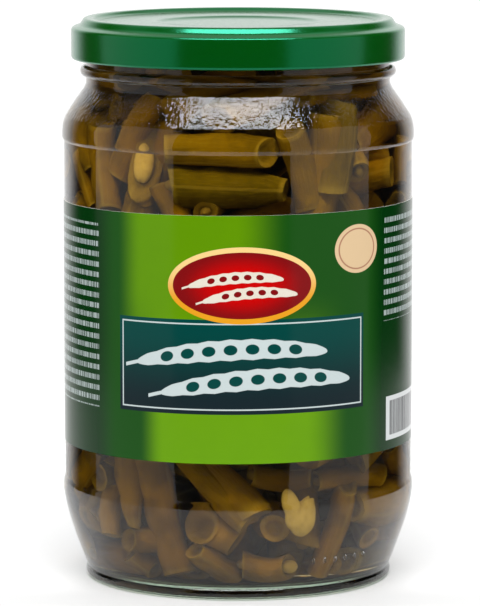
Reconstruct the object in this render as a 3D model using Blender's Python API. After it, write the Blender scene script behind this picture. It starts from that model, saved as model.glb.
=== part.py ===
"""A 720 ml glass jar of cut green beans in brine, closed by a green twist-off lid.

The origin is the middle of the foot, +Z is up and the front of the label faces -Y.
Outlines are written in millimetres, as (radius, height) pairs, and scaled to metres when they are turned.
Run with: blender --background --python part.py
"""

import math

import bmesh
import bpy
import numpy as np
from mathutils import Matrix, Vector

MM = 0.001
SEGMENTS = 36

# Glass, outside
FOOT_INNER_R = 32.5
FOOT_OUTER_R = 36.2
FOOT_ROLL_R = 39.1
FOOT_ROLL_Z = 2.4
PUSH_UP = 2.4
RING_R = 45.1
HEEL_RING_Z = 23.0
SHOULDER_RING_Z = 115.5
PANEL_R = 44.6
PANEL_LOW_Z = 26.0
PANEL_HIGH_Z = 113.6
HIP = (42.3, 121.6)
NECK_R = 38.9
NECK_LOW_Z = 127.0
BEAD_R = 1.5
BEAD_Z = 130.3
RIM_Z = 141.0

# Glass, inside
WALL_R = 42.3
INNER_HIP = (39.4, 120.6)
BORE_R = 36.2
BORE_LOW_Z = 128.0
FLOOR_R = 33.5
FLOOR_Z = 5.6
FLOOR_RISE = 1.2

# Thread and lugs of the twist-off closure
LEADS = 6
LEAD_PITCH = 360.0 / LEADS
THREAD_R = 40.9
THREAD_SPAN = 38.0
THREAD_HEIGHT = 1.5
THREAD_LOW_Z = 135.3
TWIST = 40.0
RISE = 2.0
LUG_SPAN = 9.0
LUG_LEAD_IN = 1.5
LUG_R = 39.5
LUG_HEIGHT = 1.4
SUNK = 0.5

# Lid
LID_R = 42.6
SHEET = 0.4
SKIRT_LOW_Z = 133.3
CURL = 1.3
CREST_Z = 143.7
CREST_OUTER_R = 39.2
CREST_INNER_R = 36.4
PANEL_DROP = 1.0
BUTTON_R = 21.0
BUTTON_DROP = 0.5
BUTTON_SAG = 0.2
GASKET_R = 40.9

# Brine
FILL_Z = 134.0
CLEARANCE = 0.3
BRINE_FILM = 0.5

# Label
LABEL_LOW_Z = 35.7
LABEL_HIGH_Z = 97.7
LABEL_GAP = 0.12
PAPER = 0.18
OVERLAP_SPAN = 15.0

# Cut pods
POD_GAP = 1.1
PILE_TOP_Z = 135.4
CORE_R = 28.0
CORE_LOW_Z = 14.0
CORE_HIGH_Z = 125.0
SEED = 7
POD_COUNT = 250
POD_RADIUS = (4.2, 5.3)
POD_LENGTH = (21.0, 34.0)
POD_SIDES = 6
POD_BEND = 1.6
POD_SLANT = 0.35
POD_FLATNESS = 0.92
END_SHARE = 0.6
POD_MARGIN = (0.0, 0.6)
GLASS_INDEX = 1.5
BRINE_INDEX = 1.34
SETTLE_ROUNDS = 260
PUSH_SHARE = 0.45
PRESSING = 0.25
SINKING = 0.1
OUTER_POD_R = 27.5

# The pods that show at the front, above the label and then below it. Each end is given as it is seen
# through the glass: how far right of the axis, how high, and how deep behind the glass. The radius is last.
FRONT_PODS = [
    ((-20.5, 119.0, 0), (-26.0, 92.0, 0), 4.4),
    ((-18.0, 113.0, 0), (9.5, 112.5, 0), 3.7),
    ((-16.5, 105.0, 0), (11.5, 104.0, 0), 4.9),
    ((-20.0, 125.5, 2), (-31.0, 105.0, 3), 3.6),
    ((-31.0, 123.0, 0), (-22.0, 121.0, 18), 3.4),
    ((-39.5, 119.0, 0), (-35.5, 106.0, 0), 3.5),
    ((-40.0, 110.0, 0), (-35.0, 97.0, 0), 3.0),
    ((-34.5, 119.0, 1), (-31.5, 96.0, 0), 4.4),
    ((-19.5, 104.5, 3), (-12.0, 91.0, 0), 3.3),
    ((-8.0, 98.0, 0), (-8.0, 99.5, 22), 3.2),
    ((12.0, 119.5, 0), (17.5, 98.0, 1), 3.4),
    ((21.5, 120.0, 0), (18.5, 91.0, 0), 4.8),
    ((29.5, 106.5, 0), (31.0, 120.0, 9), 3.4),
    ((29.0, 112.0, 4), (42.0, 121.5, 1), 3.9),
    ((25.0, 103.0, 4), (31.5, 90.0, 0), 4.2),
    ((40.5, 102.0, 0), (41.0, 114.0, 0), 3.1),
    ((15.0, 124.5, 0), (35.0, 125.0, 0), 2.9),
    ((-22.0, 37.0, 0), (-14.0, 6.8, 0), 4.2),
    ((-37.0, 18.0, 0), (-41.5, 28.0, 8), 4.0),
    ((-32.0, 27.0, 3), (-31.5, 15.5, 0), 2.9),
    ((-31.0, 31.0, 0), (-27.0, 40.0, 9), 3.3),
    ((-29.5, 15.0, 0), (-19.0, 16.0, 5), 3.5),
    ((-28.0, 12.0, 2), (-20.0, 7.0, 2), 3.2),
    ((-14.5, 38.0, 0), (2.5, 20.5, 0), 2.9),
    ((-13.0, 21.5, 1), (0.5, 16.0, 2), 4.4),
    ((-11.0, 14.5, 0), (0.0, 7.0, 1), 3.8),
    ((-34.5, 37.0, 0), (-40.5, 24.5, 0), 4.2),
    ((9.0, 19.5, 0), (8.5, 22.0, 22), 3.7),
    ((27.5, 29.0, 0), (19.5, 6.8, 0), 3.1),
    ((20.0, 29.0, 3), (36.5, 28.0, 0), 2.8),
    ((3.0, 31.5, 3), (21.0, 30.0, 4), 3.0),
    ((33.0, 14.5, 0), (38.5, 23.0, 14), 3.5),
    ((0.5, 11.0, 1), (15.5, 9.5, 0), 3.5),
    ((23.5, 9.5, 0), (22.5, 10.0, 20), 3.2),
    ((33.0, 21.0, 3), (43.0, 20.5, 0), 2.6),
    ((38.0, 36.5, 0), (43.0, 24.5, 0), 3.6),
]


def curve(start, control, end, steps):
    """Points of a quadratic curve after its start, up to and with its end."""
    points = []
    for i in range(1, steps + 1):
        t = i / steps
        points.append(
            tuple(
                (1 - t) ** 2 * a + 2 * t * (1 - t) * b + t * t * c
                for a, b, c in zip(start, control, end)
            )
        )
    return points


def arc(centre, radius, first, last, steps):
    """Points of an arc from one angle to another, in degrees, both ends with it."""
    angles = [math.radians(first + (last - first) * i / steps) for i in range(steps + 1)]
    return [(centre[0] + radius * math.cos(a), centre[1] + radius * math.sin(a)) for a in angles]


def inset(path, distance):
    """The path moved to its left by a distance, each corner along the bisector of its two edges."""
    normals = []
    for (r0, z0), (r1, z1) in zip(path, path[1:]):
        length = math.hypot(r1 - r0, z1 - z0)
        normals.append(((z0 - z1) / length, (r1 - r0) / length))
    moved = []
    for i, (r, z) in enumerate(path):
        a = normals[max(i - 1, 0)]
        b = normals[min(i, len(normals) - 1)]
        scale = distance / max(1 + a[0] * b[0] + a[1] * b[1], 0.5)
        moved.append((max(r + (a[0] + b[0]) * scale, 0.0), z + (a[1] + b[1]) * scale))
    return moved


def glass_outside():
    """The jar's outside from the middle of the push-up, over the foot, to the top of the rim."""
    path = [(0.0, PUSH_UP), (FOOT_INNER_R * 0.55, PUSH_UP * 0.7), (FOOT_INNER_R - 1.5, 0.5)]
    path += [(FOOT_INNER_R, 0.0), (FOOT_OUTER_R, 0.0)]
    path += curve((FOOT_OUTER_R, 0.0), (FOOT_ROLL_R, 0.0), (FOOT_ROLL_R, FOOT_ROLL_Z), 3)
    path += curve((FOOT_ROLL_R, FOOT_ROLL_Z), (RING_R - 0.5, 16.5), (RING_R, HEEL_RING_Z), 3)
    path += [(PANEL_R, PANEL_LOW_Z), (PANEL_R, PANEL_HIGH_Z), (RING_R, SHOULDER_RING_Z)]
    path += curve((RING_R, SHOULDER_RING_Z), (RING_R, 119.2), HIP, 3)
    path += curve(HIP, (39.3, 124.0), (NECK_R, NECK_LOW_Z), 3)
    path += arc((NECK_R, BEAD_Z), BEAD_R, -90, 90, 4)
    path += [(NECK_R, RIM_Z - 1.2)]
    path += curve((NECK_R, RIM_Z - 1.2), (NECK_R, RIM_Z), (NECK_R - 0.9, RIM_Z), 2)
    return path


def glass_inside():
    """The jar's inside from the middle of the floor to the top of the rim."""
    path = [(0.0, FLOOR_Z + FLOOR_RISE), (FLOOR_R * 0.6, FLOOR_Z + FLOOR_RISE * 0.6), (FLOOR_R, FLOOR_Z)]
    path += curve((FLOOR_R, FLOOR_Z), (WALL_R - 1.3, FLOOR_Z + 1.5), (WALL_R, HEEL_RING_Z), 3)
    path += [(WALL_R, PANEL_HIGH_Z)]
    path += curve((WALL_R, PANEL_HIGH_Z), (WALL_R, 118.0), INNER_HIP, 2)
    path += curve(INNER_HIP, (36.5, 123.4), (BORE_R, BORE_LOW_Z), 2)
    path += [(BORE_R, RIM_Z - 1.0)]
    path += curve((BORE_R, RIM_Z - 1.0), (BORE_R, RIM_Z), (BORE_R + 0.9, RIM_Z), 2)
    return path


def lid_outside():
    """The lid's outer face from the top of the curl, under the skirt, to the middle of the button."""
    low = SKIRT_LOW_Z
    path = [(LID_R - CURL, low + LUG_HEIGHT + 0.1), (LID_R - CURL, low + 0.3)]
    path += curve((LID_R - CURL, low + 0.3), (LID_R - CURL, low), (LID_R - CURL / 2, low), 2)
    path += curve((LID_R - CURL / 2, low), (LID_R, low), (LID_R, low + 1.0), 2)
    path += [(LID_R, CREST_Z - 3.2)]
    path += curve((LID_R, CREST_Z - 3.2), (LID_R - 0.3, CREST_Z - 1.6), (CREST_OUTER_R, CREST_Z), 4)
    panel_z = CREST_Z - PANEL_DROP
    path += [(CREST_INNER_R, CREST_Z), (CREST_INNER_R - 1.0, panel_z)]
    path += [(BUTTON_R, panel_z), (BUTTON_R - 1.2, panel_z - BUTTON_DROP)]
    path += [(0.0, panel_z - BUTTON_DROP - BUTTON_SAG)]
    return path


def lid_outline():
    """The closed section of the lid: its outer face, and the same face a sheet's thickness inside."""
    outer = lid_outside()
    curl_points = 6
    inner = inset(outer, SHEET)[curl_points:]
    inner[0] = (LID_R - SHEET, outer[0][1])
    return outer + inner[::-1]


def gasket_outline():
    """The sealing ring between the rim of the glass and the lid."""
    low = RIM_Z + CLEARANCE
    high = CREST_Z - SHEET - CLEARANCE
    path = [(BORE_R + 0.2, low), (GASKET_R, low), (GASKET_R - 0.3, low + 0.7)]
    return path + [(GASKET_R - 1.9, high), (BORE_R + 0.5, high)]


def brine_outline():
    """The film of brine along the glass, up to the fill level, round the plain hole that the beans lie in."""
    glass = [p for p in glass_inside() if p[1] < FILL_Z]
    glass.append((BORE_R, FILL_Z + CLEARANCE))
    outer = inset(glass, CLEARANCE)
    inner = inset(glass, CLEARANCE + BRINE_FILM)
    outer[-1] = (outer[-1][0], FILL_Z)
    inner[-1] = (inner[-1][0], FILL_Z)
    return outer + inner[::-1]


def link(name, mesh):
    """A new object that holds the mesh, linked to the scene."""
    obj = bpy.data.objects.new(name, mesh)
    bpy.context.scene.collection.objects.link(obj)
    return obj


def mesh_from(name, bm):
    """A mesh made of the bmesh, which is freed."""
    bmesh.ops.recalc_face_normals(bm, faces=bm.faces)
    mesh = bpy.data.meshes.new(name)
    bm.to_mesh(mesh)
    bm.free()
    return mesh


def turned(name, outline):
    """An object made by turning a closed outline round the Z axis."""
    bm = bmesh.new()
    verts = [bm.verts.new((r * MM, 0.0, z * MM)) for r, z in outline]
    edges = []
    for a, b in zip(verts, verts[1:] + verts[:1]):
        if max(a.co.x, b.co.x) > 0:
            edges.append(bm.edges.new((a, b)))
    bmesh.ops.spin(
        bm,
        geom=verts + edges,
        cent=(0, 0, 0),
        axis=(0, 0, 1),
        angle=math.tau,
        steps=SEGMENTS,
        use_merge=True,
    )
    bmesh.ops.remove_doubles(bm, verts=bm.verts, dist=1e-7)
    obj = link(name, mesh_from(name, bm))
    obj.data.shade_smooth()
    obj.data.set_sharp_from_angle(angle=math.radians(35))
    return obj


def finish(obj, colour, roughness, metallic=0.0, transmission=0.0, ior=1.5):
    """Gives the object a Principled material of its own."""
    material = bpy.data.materials.new(obj.name)
    material.use_nodes = True
    shader = material.node_tree.nodes["Principled BSDF"]
    shader.inputs["Base Color"].default_value = (*colour, 1.0)
    shader.inputs["Roughness"].default_value = roughness
    shader.inputs["Metallic"].default_value = metallic
    shader.inputs["Transmission Weight"].default_value = transmission
    shader.inputs["IOR"].default_value = ior
    obj.data.materials.clear()
    obj.data.materials.append(material)


def helical_block(inner_r, outer_r, low_z, height, first_deg, span_deg, rise, steps):
    """A block that follows the neck and climbs as it goes, with its outer edge half as high, as a mesh."""
    bm = bmesh.new()
    section = [(inner_r, 0.0), (outer_r, height * 0.25), (outer_r, height * 0.75), (inner_r, height)]
    rings = []
    for i in range(steps + 1):
        share = i / steps
        angle = math.radians(first_deg + span_deg * share)
        ring = []
        for r, z in section:
            height_here = low_z + z + rise * share
            place = (r * math.cos(angle), r * math.sin(angle), height_here)
            ring.append(bm.verts.new(Vector(place) * MM))
        rings.append(ring)
    for a, b in zip(rings, rings[1:]):
        for i in range(4):
            bm.faces.new((a[i], a[(i + 1) % 4], b[(i + 1) % 4], b[i]))
    bm.faces.new(rings[0])
    bm.faces.new(rings[-1])
    return mesh_from("block", bm)


def joined(obj, meshes):
    """The object's mesh with the given meshes fused into it by one Boolean union, which is then applied."""
    group = bpy.data.collections.new(obj.name + "_additions")
    bpy.context.scene.collection.children.link(group)
    for mesh in meshes:
        group.objects.link(bpy.data.objects.new(mesh.name, mesh))
    union = obj.modifiers.new("Union", "BOOLEAN")
    union.operation = "UNION"
    union.operand_type = "COLLECTION"
    union.collection = group
    graph = bpy.context.evaluated_depsgraph_get()
    fused = bpy.data.meshes.new_from_object(obj.evaluated_get(graph))
    obj.modifiers.clear()
    obj.data = fused
    for extra in list(group.objects):
        bpy.data.objects.remove(extra)
    bpy.data.collections.remove(group)
    return obj


def keep_outer_body(obj):
    """Removes every shell of the mesh but the largest: loose scraps, and hollows sealed inside it."""
    bm = bmesh.new()
    bm.from_mesh(obj.data)
    bmesh.ops.triangulate(bm, faces=bm.faces)
    unseen = set(bm.faces)
    shells = []
    while unseen:
        stack = [unseen.pop()]
        shell = []
        while stack:
            face = stack.pop()
            shell.append(face)
            for edge in face.edges:
                for other in edge.link_faces:
                    if other in unseen:
                        unseen.remove(other)
                        stack.append(other)
        shells.append(shell)
    shells.sort(key=len)
    for shell in shells[:-1]:
        bmesh.ops.delete(bm, geom=shell, context="FACES")
    bm.to_mesh(obj.data)
    bm.free()


def nearest_points(a0, a1, b0, b1):
    """How far along each of two lists of segments their nearest points lie, from 0 to 1."""
    d1, d2, r = a1 - a0, b1 - b0, a0 - b0
    a = (d1 * d1).sum(1)
    e = (d2 * d2).sum(1)
    b = (d1 * d2).sum(1)
    c = (d1 * r).sum(1)
    f = (d2 * r).sum(1)
    s = np.clip((b * f - c * e) / np.maximum(a * e - b * b, 1e-9), 0, 1)
    t = np.clip((b * s + f) / e, 0, 1)
    return np.clip((b * t - c) / a, 0, 1), t


def room():
    """The hole that the pods lie in: the heights and radii of its wall, and the height of its floor."""
    hole = inset(glass_inside(), CLEARANCE + BRINE_FILM + POD_GAP)
    walls = [p for p in hole if p[0] > FLOOR_R - 0.5 and p[1] < RIM_Z - 2]
    floor = FLOOR_Z + FLOOR_RISE + CLEARANCE + BRINE_FILM + POD_GAP
    return [z for _, z in walls], [r for r, _ in walls], floor


def pressed(place, hole, margin):
    """The point itself or, where it would lie outside the hole less a margin, a place inside it."""
    wall_z, wall_r, floor = hole
    x, y, z = place
    z = min(max(z, floor + margin), PILE_TOP_Z - margin)
    limit = np.interp(z, wall_z, wall_r) - margin
    share = min(1.0, limit / max(math.hypot(x, y), 1e-6))
    return Vector((x * share, y * share, z))


def behind_glass(across, height, depth, radius):
    """A pod's end, seen from the front at that place through the glass and the brine, which bend the view."""
    wall_z, wall_r, _ = room()
    out = np.interp(height, wall_z, wall_r) - radius
    turn = math.asin(across / RING_R)
    turn += math.asin(across / GLASS_INDEX / WALL_R) - math.asin(across / GLASS_INDEX / RING_R)
    turn += math.asin(across / BRINE_INDEX / out) - math.asin(across / BRINE_INDEX / WALL_R)
    return (out - depth) * math.sin(turn), (depth - out) * math.cos(turn), height


def front_pods():
    """The two ends, as the middles of a capsule's round ends, and the radius of each pod at the front."""
    radii = np.array([radius for _, _, radius in FRONT_PODS])
    ends = [[behind_glass(*pod[end], pod[2]) for pod in FRONT_PODS] for end in (0, 1)]
    ends = np.array(ends)
    lean = ends[1] - ends[0]
    lean *= (END_SHARE * radii / np.linalg.norm(lean, axis=1))[:, None]
    return np.stack([ends[0] + lean, ends[1] - lean]), radii


def settled_pods():
    """The two ends, in millimetres, and the radius of every pod, after they have pushed each other apart.

    Those at the front stay where they are. The others start at random in the jar. Each round moves
    overlapping pods apart at their nearest points, presses them towards the glass and down, and brings
    their ends back inside the hole in the brine.
    """
    rng = np.random.default_rng(SEED)
    wall_z, wall_r, floor = room()
    radius = rng.uniform(*POD_RADIUS, POD_COUNT)
    reach = rng.uniform(*POD_LENGTH, POD_COUNT) - 2 * END_SHARE * radius
    height = floor + 5 + (PILE_TOP_Z - floor - 10) * rng.random(POD_COUNT)
    out = BORE_R * np.sqrt(rng.random(POD_COUNT))
    turn = math.tau * rng.random(POD_COUNT)
    middle = np.stack([out * np.cos(turn), out * np.sin(turn), height], 1)
    lean = rng.normal(size=(POD_COUNT, 3))
    lean /= np.linalg.norm(lean, axis=1)[:, None]
    ends = np.stack([middle - lean * reach[:, None] / 2, middle + lean * reach[:, None] / 2]).round(6)
    front, front_radius = front_pods()
    fixed = len(FRONT_PODS)
    ends[:, :fixed] = front
    radius[:fixed] = front_radius
    reach[:fixed] = np.linalg.norm(front[1] - front[0], axis=1)
    first, second = np.triu_indices(POD_COUNT, 1)
    for step in range(SETTLE_ROUNDS):
        near = np.linalg.norm(ends.mean(0)[first] - ends.mean(0)[second], axis=1)
        close = near < (reach[first] + reach[second]) / 2 + radius[first] + radius[second]
        i, j = first[close], second[close]
        s, t = nearest_points(ends[0, i], ends[1, i], ends[0, j], ends[1, j])
        apart = (ends[0, i] * (1 - s)[:, None] + ends[1, i] * s[:, None]) - (
            ends[0, j] * (1 - t)[:, None] + ends[1, j] * t[:, None]
        )
        gap = np.linalg.norm(apart, axis=1)
        push = np.maximum(radius[i] + radius[j] - gap, 0) * PUSH_SHARE
        way = apart / np.maximum(gap, 1e-6)[:, None] * push[:, None]
        for pod, share, sign in ((i, s, 1), (j, t, -1)):
            np.add.at(ends[0], pod, sign * way * (1 - share)[:, None])
            np.add.at(ends[1], pod, sign * way * share[:, None])
        pressing = PRESSING * (1 - step / SETTLE_ROUNDS)
        across = ends[:, :, :2]
        across *= 1 + pressing / np.maximum(np.linalg.norm(across, axis=2), BORE_R / 3)[:, :, None]
        ends[:, :, 2] -= pressing * SINKING
        for _ in range(2):
            middle = ends.mean(0)
            lean = ends[1] - ends[0]
            lean *= (reach / np.linalg.norm(lean, axis=1))[:, None] / 2
            ends = np.stack([middle - lean, middle + lean])
            ends[:, :, 2] = np.clip(ends[:, :, 2], floor + radius, PILE_TOP_Z - radius)
            limit = np.interp(ends[:, :, 2], wall_z, wall_r) - radius
            spread = np.linalg.norm(ends[:, :, :2], axis=2)
            ends[:, :, :2] *= np.minimum(1, limit / np.maximum(spread, 1e-6))[:, :, None]
            ends[:, :fixed] = front
    return ends, radius


def pod_mesh(start, end, radius, rng, hole):
    """One cut pod: a bent prism, its ends cut at a slant, pressed flat where it meets the hole."""
    axis = Vector(end) - Vector(start)
    turn = axis.to_track_quat("Z", "X").to_matrix() @ Matrix.Rotation(rng.uniform(0, math.tau), 3, "Z")
    half = axis.length / 2 + radius * END_SHARE
    middle = (Vector(start) + Vector(end)) / 2
    bend = rng.uniform(-POD_BEND, POD_BEND)
    slants = rng.uniform(-POD_SLANT, POD_SLANT, 2)
    margin = rng.uniform(*POD_MARGIN)
    bm = bmesh.new()
    rings = []
    for along, slant in ((-1, slants[0]), (0, 0.0), (1, slants[1])):
        ring = []
        for k in range(POD_SIDES):
            angle = math.tau * k / POD_SIDES
            x, y = radius * math.cos(angle), radius * POD_FLATNESS * math.sin(angle)
            place = Vector((x + bend * (1 - along * along), y, along * half + slant * y))
            ring.append(bm.verts.new(pressed(middle + turn @ place, hole, margin) * MM))
        rings.append(ring)
    for a, b in zip(rings, rings[1:]):
        for k in range(POD_SIDES):
            bm.faces.new((a[k], a[(k + 1) % POD_SIDES], b[(k + 1) % POD_SIDES], b[k]))
    bm.faces.new(rings[0])
    bm.faces.new(rings[-1])
    return mesh_from("pod", bm)


def make_jar():
    """The glass jar, with the six thread leads on its neck."""
    jar = turned("jar", glass_outside() + glass_inside()[::-1])
    leads = []
    for k in range(LEADS):
        first = k * LEAD_PITCH - THREAD_SPAN / 2
        rise = RISE * THREAD_SPAN / TWIST
        leads.append(
            helical_block(NECK_R - SUNK, THREAD_R, THREAD_LOW_Z, THREAD_HEIGHT, first, THREAD_SPAN, rise, 5)
        )
    joined(jar, leads)
    finish(jar, (0.86, 0.93, 0.90), 0.03, transmission=1.0)


def make_lid():
    """The lid, with its six lugs under the low ends of the thread leads."""
    lid = turned("lid", lid_outline())
    lugs = []
    for k in range(LEADS):
        first = k * LEAD_PITCH - THREAD_SPAN / 2 + LUG_LEAD_IN
        lugs.append(
            helical_block(LUG_R, LID_R - CURL / 2, SKIRT_LOW_Z + 0.2, LUG_HEIGHT, first, LUG_SPAN, 0.0, 2)
        )
    joined(lid, lugs)
    finish(lid, (0.0, 0.13, 0.03), 0.2, metallic=0.3)


def make_gasket():
    """The ring of sealing compound inside the lid."""
    finish(turned("gasket", gasket_outline()), (0.80, 0.78, 0.70), 0.6)


def make_brine():
    """The brine, as a film along the glass with a plain hole that the beans lie in."""
    finish(turned("brine", brine_outline()), (0.62, 0.47, 0.10), 0.02, transmission=1.0, ior=1.34)


def make_label():
    """The paper label, wrapped once round the glass and glued over its own end at the back."""
    low, high = LABEL_LOW_Z, LABEL_HIGH_Z
    inner = PANEL_R + LABEL_GAP
    label = turned("label", [(inner, low), (inner + PAPER, low), (inner + PAPER, high), (inner, high)])
    bm = bmesh.new()
    steps = 4
    rings = []
    for i in range(steps + 1):
        angle = math.radians(90 - OVERLAP_SPAN / 2 + OVERLAP_SPAN * i / steps)
        section = [(inner + PAPER / 2, low), (inner + 2 * PAPER, low)]
        section += [(inner + 2 * PAPER, high), (inner + PAPER / 2, high)]
        rings.append(
            [bm.verts.new(Vector((r * math.cos(angle), r * math.sin(angle), z)) * MM) for r, z in section]
        )
    for a, b in zip(rings, rings[1:]):
        for i in range(4):
            bm.faces.new((a[i], a[(i + 1) % 4], b[(i + 1) % 4], b[i]))
    bm.faces.new(rings[0])
    bm.faces.new(rings[-1])
    joined(label, [mesh_from("overlap", bm)])
    finish(label, (0.05, 0.25, 0.05), 0.45)


def make_beans():
    """The cut beans: the pods by the glass stand out of a core that stands for those behind them."""
    section = [(0.0, CORE_LOW_Z), (CORE_R, CORE_LOW_Z), (CORE_R, CORE_HIGH_Z), (0.0, CORE_HIGH_Z)]
    core = turned("cut_beans", section)
    ends, radii = settled_pods()
    rng = np.random.default_rng(SEED + 1)
    hole = room()
    pods = []
    for start, end, radius in zip(ends[0], ends[1], radii):
        middle = (start + end) / 2
        by_the_glass = math.hypot(middle[0], middle[1]) > OUTER_POD_R
        if by_the_glass or not CORE_LOW_Z < middle[2] < CORE_HIGH_Z:
            pods.append(pod_mesh(start, end, radius, rng, hole))
    joined(core, pods)
    keep_outer_body(core)
    finish(core, (0.19, 0.12, 0.02), 0.4)


def main():
    """Clears the scene and models the jar, its lid and what is in it."""
    for obj in list(bpy.data.objects):
        bpy.data.objects.remove(obj)
    make_jar()
    make_lid()
    make_gasket()
    make_brine()
    make_label()
    make_beans()


main()
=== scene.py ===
"""The looks of a 720 ml jar of cut green beans in brine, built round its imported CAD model.

Lengths inside the classes are in millimetres and go to metres when a mesh is made. The origin is the middle
of the jar's foot, +Z is up, and the front of the label faces -Y, towards the camera.
"""

import logging
import math
from collections.abc import Callable
from dataclasses import dataclass, field
from enum import Enum

import bmesh
import bpy
import numpy as np
from mathutils import Matrix, Vector, noise


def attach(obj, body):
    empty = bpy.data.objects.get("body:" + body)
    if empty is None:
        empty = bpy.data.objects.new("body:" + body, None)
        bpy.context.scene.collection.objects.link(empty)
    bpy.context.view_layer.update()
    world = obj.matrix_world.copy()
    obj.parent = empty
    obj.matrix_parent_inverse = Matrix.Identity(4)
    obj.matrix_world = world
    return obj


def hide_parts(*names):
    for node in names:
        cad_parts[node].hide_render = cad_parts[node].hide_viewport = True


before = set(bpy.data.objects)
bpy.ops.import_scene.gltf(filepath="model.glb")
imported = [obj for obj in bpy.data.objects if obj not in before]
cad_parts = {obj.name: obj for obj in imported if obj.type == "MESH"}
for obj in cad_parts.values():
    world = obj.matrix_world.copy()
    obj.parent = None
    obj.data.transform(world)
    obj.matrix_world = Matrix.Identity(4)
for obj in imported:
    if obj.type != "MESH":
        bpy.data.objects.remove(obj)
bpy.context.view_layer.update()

MM = 0.001

Point = tuple[float, float]
Triple = tuple[float, float, float]
Area = tuple[Point, Point]
Colour = tuple[float, float, float]
Socket = bpy.types.NodeSocket
Key = int | str

log = logging.getLogger("jar")


class Body(Enum):
    """The moving bodies of the CAD model."""

    VESSEL = "vessel"
    SEAL = "seal"
    CAP = "cap"


# Outlines and meshes


def bend(path: list[Point], control: Point, end: Point, steps: int) -> None:
    """Adds a quadratic curve to a path, from where it has got to.

    Args:
        path: The path's points.
        control: The point that the curve bends towards.
        end: Where it ends.
        steps: How many points to add.
    """
    start = path[-1]
    for i in range(1, steps + 1):
        t = i / steps
        shares = ((1 - t) ** 2, 2 * t * (1 - t), t * t)
        path.append(tuple(sum(w * p[k] for w, p in zip(shares, (start, control, end))) for k in (0, 1)))


def arc(centre: Point, radius: float, first: float, last: float, steps: int) -> list[Point]:
    """Points of an arc.

    Args:
        centre: The middle of the circle.
        radius: Its radius.
        first: The angle that the arc starts at, in degrees.
        last: The angle that it ends at.
        steps: How many parts it has.

    Returns:
        The points, both ends with them.
    """
    angles = [math.radians(first + (last - first) * i / steps) for i in range(steps + 1)]
    return [(centre[0] + radius * math.cos(a), centre[1] + radius * math.sin(a)) for a in angles]


def inset(path: list[Point], distance: float) -> list[Point]:
    """Moves a path to its left.

    Args:
        path: The path's points.
        distance: How far each stretch moves.

    Returns:
        The moved points, each corner along the bisector of its two stretches.
    """
    normals = []
    for (r0, z0), (r1, z1) in zip(path, path[1:]):
        length = math.hypot(r1 - r0, z1 - z0)
        normals.append(((z0 - z1) / length, (r1 - r0) / length))
    moved = []
    for i, (r, z) in enumerate(path):
        a = normals[max(i - 1, 0)]
        b = normals[min(i, len(normals) - 1)]
        scale = distance / max(1 + a[0] * b[0] + a[1] * b[1], 0.5)
        moved.append((max(r + (a[0] + b[0]) * scale, 0.0), z + (a[1] + b[1]) * scale))
    return moved


def smooth(value: float, low: float, high: float) -> float:
    """How far a value is from low to high, from 0 to 1, eased at both ends."""
    t = min(max((value - low) / (high - low), 0.0), 1.0)
    return t * t * (3 - 2 * t)


def turned(outline: list[Point], segments: int) -> bmesh.types.BMesh:
    """Turns a closed outline round the Z axis.

    Args:
        outline: Radius and height of each point.
        segments: How many parts the round has.

    Returns:
        The mesh, in millimetres, with its normals outwards.
    """
    bm = bmesh.new()
    verts = [bm.verts.new((r, 0.0, z)) for r, z in outline]
    pairs = zip(verts, verts[1:] + verts[:1])
    edges = [bm.edges.new(pair) for pair in pairs if max(pair[0].co.x, pair[1].co.x) > 0]
    bmesh.ops.spin(
        bm,
        geom=verts + edges,
        cent=(0, 0, 0),
        axis=(0, 0, 1),
        angle=math.tau,
        steps=segments,
        use_merge=True,
    )
    bmesh.ops.remove_doubles(bm, verts=bm.verts, dist=1e-4)
    bmesh.ops.recalc_face_normals(bm, faces=bm.faces)
    return bm


def reshape(bm: bmesh.types.BMesh, rule: Callable[[float, float, float], tuple[float, float]]) -> None:
    """Moves each vertex out from the axis and up.

    Args:
        bm: The mesh.
        rule: Gives the new radius and height for an angle, a radius and a height.
    """
    for vert in bm.verts:
        x, y, z = vert.co
        radius = math.hypot(x, y)
        if radius > 1e-3:
            new_radius, vert.co.z = rule(math.atan2(y, x), radius, z)
            vert.co.x, vert.co.y = x / radius * new_radius, y / radius * new_radius


def piece_from(bm: bmesh.types.BMesh, name: str, sharp: float = 35.0) -> bpy.types.Object:
    """Makes an object of a mesh in millimetres, which is freed.

    Args:
        bm: The mesh.
        name: The object's name.
        sharp: Edges that turn by more than this many degrees stay sharp.

    Returns:
        The object, at the origin, with smooth faces.
    """
    bmesh.ops.scale(bm, vec=(MM, MM, MM), verts=bm.verts)
    mesh = bpy.data.meshes.new(name)
    bm.to_mesh(mesh)
    bm.free()
    mesh.shade_smooth()
    mesh.set_sharp_from_angle(angle=math.radians(sharp))
    piece = bpy.data.objects.new(name, mesh)
    bpy.context.scene.collection.objects.link(piece)
    return piece


def placed(
    piece: bpy.types.Object, body: Body, slot: str, nodes: list[str], *materials: bpy.types.Material
) -> bpy.types.Object:
    """Hands a finished piece to the frame.

    Args:
        piece: The piece.
        body: The CAD body that it rides on.
        slot: The record's material slot; it is not used.
        nodes: The CAD nodes that it stands for.
        *materials: Its materials, in the order of its faces' numbers.

    Returns:
        The piece.
    """
    for material in materials:
        piece.data.materials.append(material)
    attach(piece, body.value)
    if nodes:
        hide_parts(*nodes)
    log.info("%s: %d faces", piece.name, len(piece.data.polygons))
    return piece


# Nodes


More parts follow.
